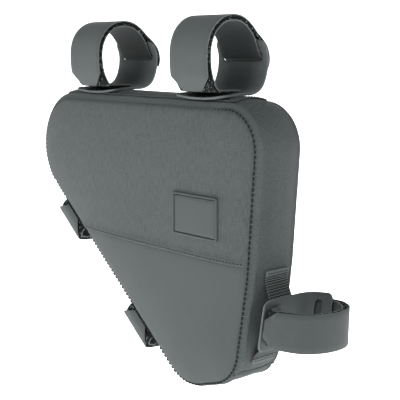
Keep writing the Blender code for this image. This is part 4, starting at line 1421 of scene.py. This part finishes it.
def make_seat_webbing():
    """Make the ribbed webbing with its folded and sewn ends."""
    first = webbing_run() - WEBBING_LENGTH / 2
    curve = np.array(catmull(BOW_ROWS, False, 12))
    vs = np.linspace(0.0, WEBBING_LENGTH, 330)
    rises = np.interp(vs / WEBBING_LENGTH, np.clip(curve[:, 0], 0, 1), np.clip(curve[:, 1], 0, 1))
    us = np.linspace(-WEBBING_WIDTH / 2, WEBBING_WIDTH / 2, 41)
    line, normal, swell = at_run(first + vs)
    crown = np.maximum(wall_out(0.0, swell), 0) + GAP
    rows, painted_rib_lights, plane = [], [], []
    ends = (WEBBING_HEM - vs, vs - WEBBING_LENGTH + WEBBING_HEM)
    hem = np.maximum(*(smoothstep(end, 0.0, 0.0006) for end in ends))
    for layer in (1, 0):
        for u in us:
            phase = 0.16 * math.cos(u / WEBBING_WIDTH * 5 * TAU) + u * 12
            rib = (np.cos((vs / RIB_PITCH + phase) * TAU) * 0.5 + 0.5) ** 2.4 * (1 - hem)
            edge = float(smoothstep(WEBBING_WIDTH / 2 - abs(u), -0.0001, 0.0009))
            rise = rises * WEBBING_BOW + crown
            low = rise + 0.0003 * (1 - edge)
            high = low + (WEBBING_THICKNESS - 0.0004) * (0.55 + 0.45 * edge) + rib * RIB_HEIGHT + hem * 0.0009
            out = high if layer else low
            place = line + normal * out[:, None]
            rows.append(np.column_stack([place[:, 0], np.full(len(vs), u), place[:, 1]]))
            # painted light: high on the ribs and the folded hems, low between the ribs as painted shade
            painted_rib_lights.append(np.clip(rib * 0.85 + hem * 0.55 + 0.03, 0, 1))
            plane.append(np.column_stack([np.full(len(vs), u), vs]))
    count, size = len(vs), len(us)
    order = list(range(size)) + list(range(2 * size - 1, size - 1, -1))
    points, painted_rib_lights, plane = (np.concatenate([part[k] for k in order]) for part in (rows, painted_rib_lights, plane))
    faces = grid_faces(2 * size, count, closed=True)
    ends = [[r * count + c for r in range(2 * size)] for c in (0, count - 1)]
    for ring in ends:
        for k in range(size - 1):
            faces.append((ring[k], ring[k + 1], ring[2 * size - 2 - k], ring[2 * size - 1 - k]))
    # the underside takes the near-black pile finish: partly pile seen in the gap under the bow, partly
    # painted shade there
    under = [int(size <= k // (count - 1) < 2 * size - 1) for k in range(2 * size * (count - 1))]
    mesh = mesh_of("seat_webbing_ribbed", points, faces, plane, under + [0] * (2 * size - 2))
    painted_rib_light = mesh.attributes.new("painted_rib_light", "FLOAT", "POINT")
    painted_rib_light.data.foreach_set("value", painted_rib_lights.astype(np.float32))
    piece = finish_piece("seat_webbing_ribbed", mesh, [webbing_finish(), pile_finish()], "seat_webbing")
    for k, v in enumerate((0.0022, WEBBING_LENGTH - 0.0022)):
        point, up, bulge = at_run(first + v)
        middle = point + up * (float(wall_out(0.0, bulge)) + WEBBING_THICKNESS + 0.0009)
        path = [(middle[0], u, middle[1]) for u in np.linspace(-0.0115, 0.0115, 30)]
        normals = np.tile([up[0], 0.0, up[1]], (30, 1))
        stitch_row(f"webbing_thread_{k + 1}", path, normals, 0.0023, 0.0016, 0.1)


def make_straps():
    """Make the five straps, each on what carries it."""
    for strap, side in ((TOP_LEFT, -0.5), (TOP_RIGHT, 0.5)):
        line, normal, swell = at_run(run_at_x(side * TOP_STRAP_SPACING))
        base = line + normal * (swell + GAP + PATCH_THICKNESS)
        dress_strap(strap, base, normal, (normal[1], -normal[0]), LIP_BOW)
    line, normal, swell = at_run(webbing_run())
    base = line + normal * (swell + 2 * GAP + WEBBING_BOW + WEBBING_THICKNESS)
    dress_strap(SEAT, base, normal, (-normal[1], normal[0]))
    low, high = corner_run(DOWN_FOOT, 1), seam_length()
    for strap, share in ((DOWN_UPPER, DOWN_UPPER_PLACE), (DOWN_LOWER, DOWN_LOWER_PLACE)):
        line, normal, swell = at_run(high + (low - high) * share)
        dress_strap(strap, line + normal * swell, normal, (-normal[1], normal[0]))


def make_stage():
    """Make the pale floor and backdrop, the soft lights and the camera."""
    scene = bpy.context.scene
    floor, wide, radius, back = -0.42, 3.0, 0.8, 2.4
    profile = [(-3.5, 0.0), (back - radius, 0.0)]
    profile += [(back - radius + radius * math.sin(a), radius - radius * math.cos(a))
                for a in np.linspace(0.05, math.pi / 2, 16)]
    profile.append((back, 4.0))
    turn = math.radians(49.0)
    ahead, right = np.array([-math.sin(turn), math.cos(turn)]), np.array([math.cos(turn), math.sin(turn)])
    points = [(*(ahead * far + right * side), floor + up) for far, up in profile for side in (-wide, wide)]
    mesh = mesh_of("floor", points, grid_faces(len(profile), 2), [(p[0], p[1]) for p in points])
    mesh.shade_smooth()
    mesh.materials.append(floor_finish())
    stand = bpy.data.objects.new("floor", mesh)
    scene.collection.objects.link(stand)
    world = scene.world or bpy.data.worlds.new("studio")
    scene.world = world
    world.use_nodes = True
    background = world.node_tree.nodes["Background"]
    background.inputs["Color"].default_value = (1.0, 1.0, 1.0, 1.0)
    background.inputs["Strength"].default_value = 0.33
    scene.view_settings.view_transform = "Standard"
    lamps = (
        ("key_light", (0.15, -1.85, 1.3), 1.0, 21.0),
        ("fill_light", (1.5, 0.55, 0.45), 0.7, 8.0),
        ("floor_light", (-0.6, 0.7, 2.2), 2.4, 230.0),
    )
    for name, spot, size, power in lamps:
        data = bpy.data.lights.new(name, "AREA")
        data.shape, data.size, data.energy = "DISK", size, power
        lamp = bpy.data.objects.new(name, data)
        lamp.location = spot
        lamp.rotation_euler = (Vector((0.0, 0.0, -0.13)) - Vector(spot)).to_track_quat("-Z", "Y").to_euler()
        scene.collection.objects.link(lamp)
    lit = bpy.data.collections.new("floor_only")
    lit.objects.link(stand)
    bpy.data.objects["floor_light"].light_linking.receiver_collection = lit
    data = bpy.data.cameras.new("camera")
    data.lens, data.sensor_width = 81.63, 36.0
    data.clip_start, data.clip_end = 0.05, 20.0
    camera = bpy.data.objects.new("camera", data)
    camera.location = (0.65131, -0.51950, -0.00097)
    camera.rotation_euler = (math.radians(80.917), 0.0, turn)
    scene.collection.objects.link(camera)
    scene.camera = camera


# Operators


class BAG_OT_front_panels(bpy.types.Operator):
    """Make the two padded front panels and their lapped seam"""
    bl_idname = "bag.front_panels"
    bl_label = "Front Panels"

    def execute(self, context):
        make_front_panels()
        return {"FINISHED"}


class BAG_OT_side_walls(bpy.types.Operator):
    """Make the padded side wall and the perimeter seam"""
    bl_idname = "bag.side_walls"
    bl_label = "Side Walls"

    def execute(self, context):
        make_side_walls()
        return {"FINISHED"}


class BAG_OT_hidden_face(bpy.types.Operator):
    """Make the hidden face with its zip"""
    bl_idname = "bag.hidden_face"
    bl_label = "Hidden Face and Zip"

    def execute(self, context):
        make_hidden_face()
        return {"FINISHED"}


class BAG_OT_label(bpy.types.Operator):
    """Make the bare moulded label"""
    bl_idname = "bag.label"
    bl_label = "Label"

    def execute(self, context):
        make_label()
        return {"FINISHED"}


class BAG_OT_top_patch(bpy.types.Operator):
    """Make the reinforcing strip under the top straps"""
    bl_idname = "bag.top_patch"
    bl_label = "Top Strip"

    def execute(self, context):
        make_top_patch()
        return {"FINISHED"}


class BAG_OT_seat_webbing(bpy.types.Operator):
    """Make the ribbed webbing on the seat side"""
    bl_idname = "bag.seat_webbing"
    bl_label = "Seat Webbing"

    def execute(self, context):
        make_seat_webbing()
        return {"FINISHED"}


class BAG_OT_straps(bpy.types.Operator):
    """Make the five hook and loop straps"""
    bl_idname = "bag.straps"
    bl_label = "Straps"

    def execute(self, context):
        make_straps()
        return {"FINISHED"}


class BAG_OT_stage(bpy.types.Operator):
    """Make the floor, lights and camera"""
    bl_idname = "bag.stage"
    bl_label = "Stage"

    def execute(self, context):
        make_stage()
        return {"FINISHED"}


OPERATORS = (BAG_OT_front_panels, BAG_OT_side_walls, BAG_OT_hidden_face, BAG_OT_label,
             BAG_OT_top_patch, BAG_OT_seat_webbing, BAG_OT_straps, BAG_OT_stage)


class BAG_PT_panel(bpy.types.Panel):
    """Lists the bag's pieces, sizes and colours"""
    bl_idname = "BAG_PT_panel"
    bl_label = "Frame Bag"
    bl_space_type = "VIEW_3D"
    bl_region_type = "UI"
    bl_category = "Frame Bag"

    def draw(self, context):
        for group in (context.scene.frame_bag_sizes, context.scene.frame_bag_colours):
            box = self.layout.box()
            for name in group.__annotations__:
                box.prop(group, name)
        for operator in OPERATORS:
            self.layout.operator(operator.bl_idname)


CLASSES = (BagSizes, BagColours, *OPERATORS, BAG_PT_panel)


def register():
    """Register the classes and the scene's groups of properties."""
    for one in CLASSES:
        bpy.utils.register_class(one)
    bpy.types.Scene.frame_bag_sizes = bpy.props.PointerProperty(type=BagSizes)
    bpy.types.Scene.frame_bag_colours = bpy.props.PointerProperty(type=BagColours)


def unregister():
    """Take the properties and classes away again."""
    del bpy.types.Scene.frame_bag_sizes
    del bpy.types.Scene.frame_bag_colours
    for one in reversed(CLASSES):
        bpy.utils.unregister_class(one)


def main():
    """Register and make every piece."""
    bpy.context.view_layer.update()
    register()
    for operator in OPERATORS:
        getattr(bpy.ops.bag, operator.bl_idname.split(".")[1])()


if __name__ == "__main__":
    main()
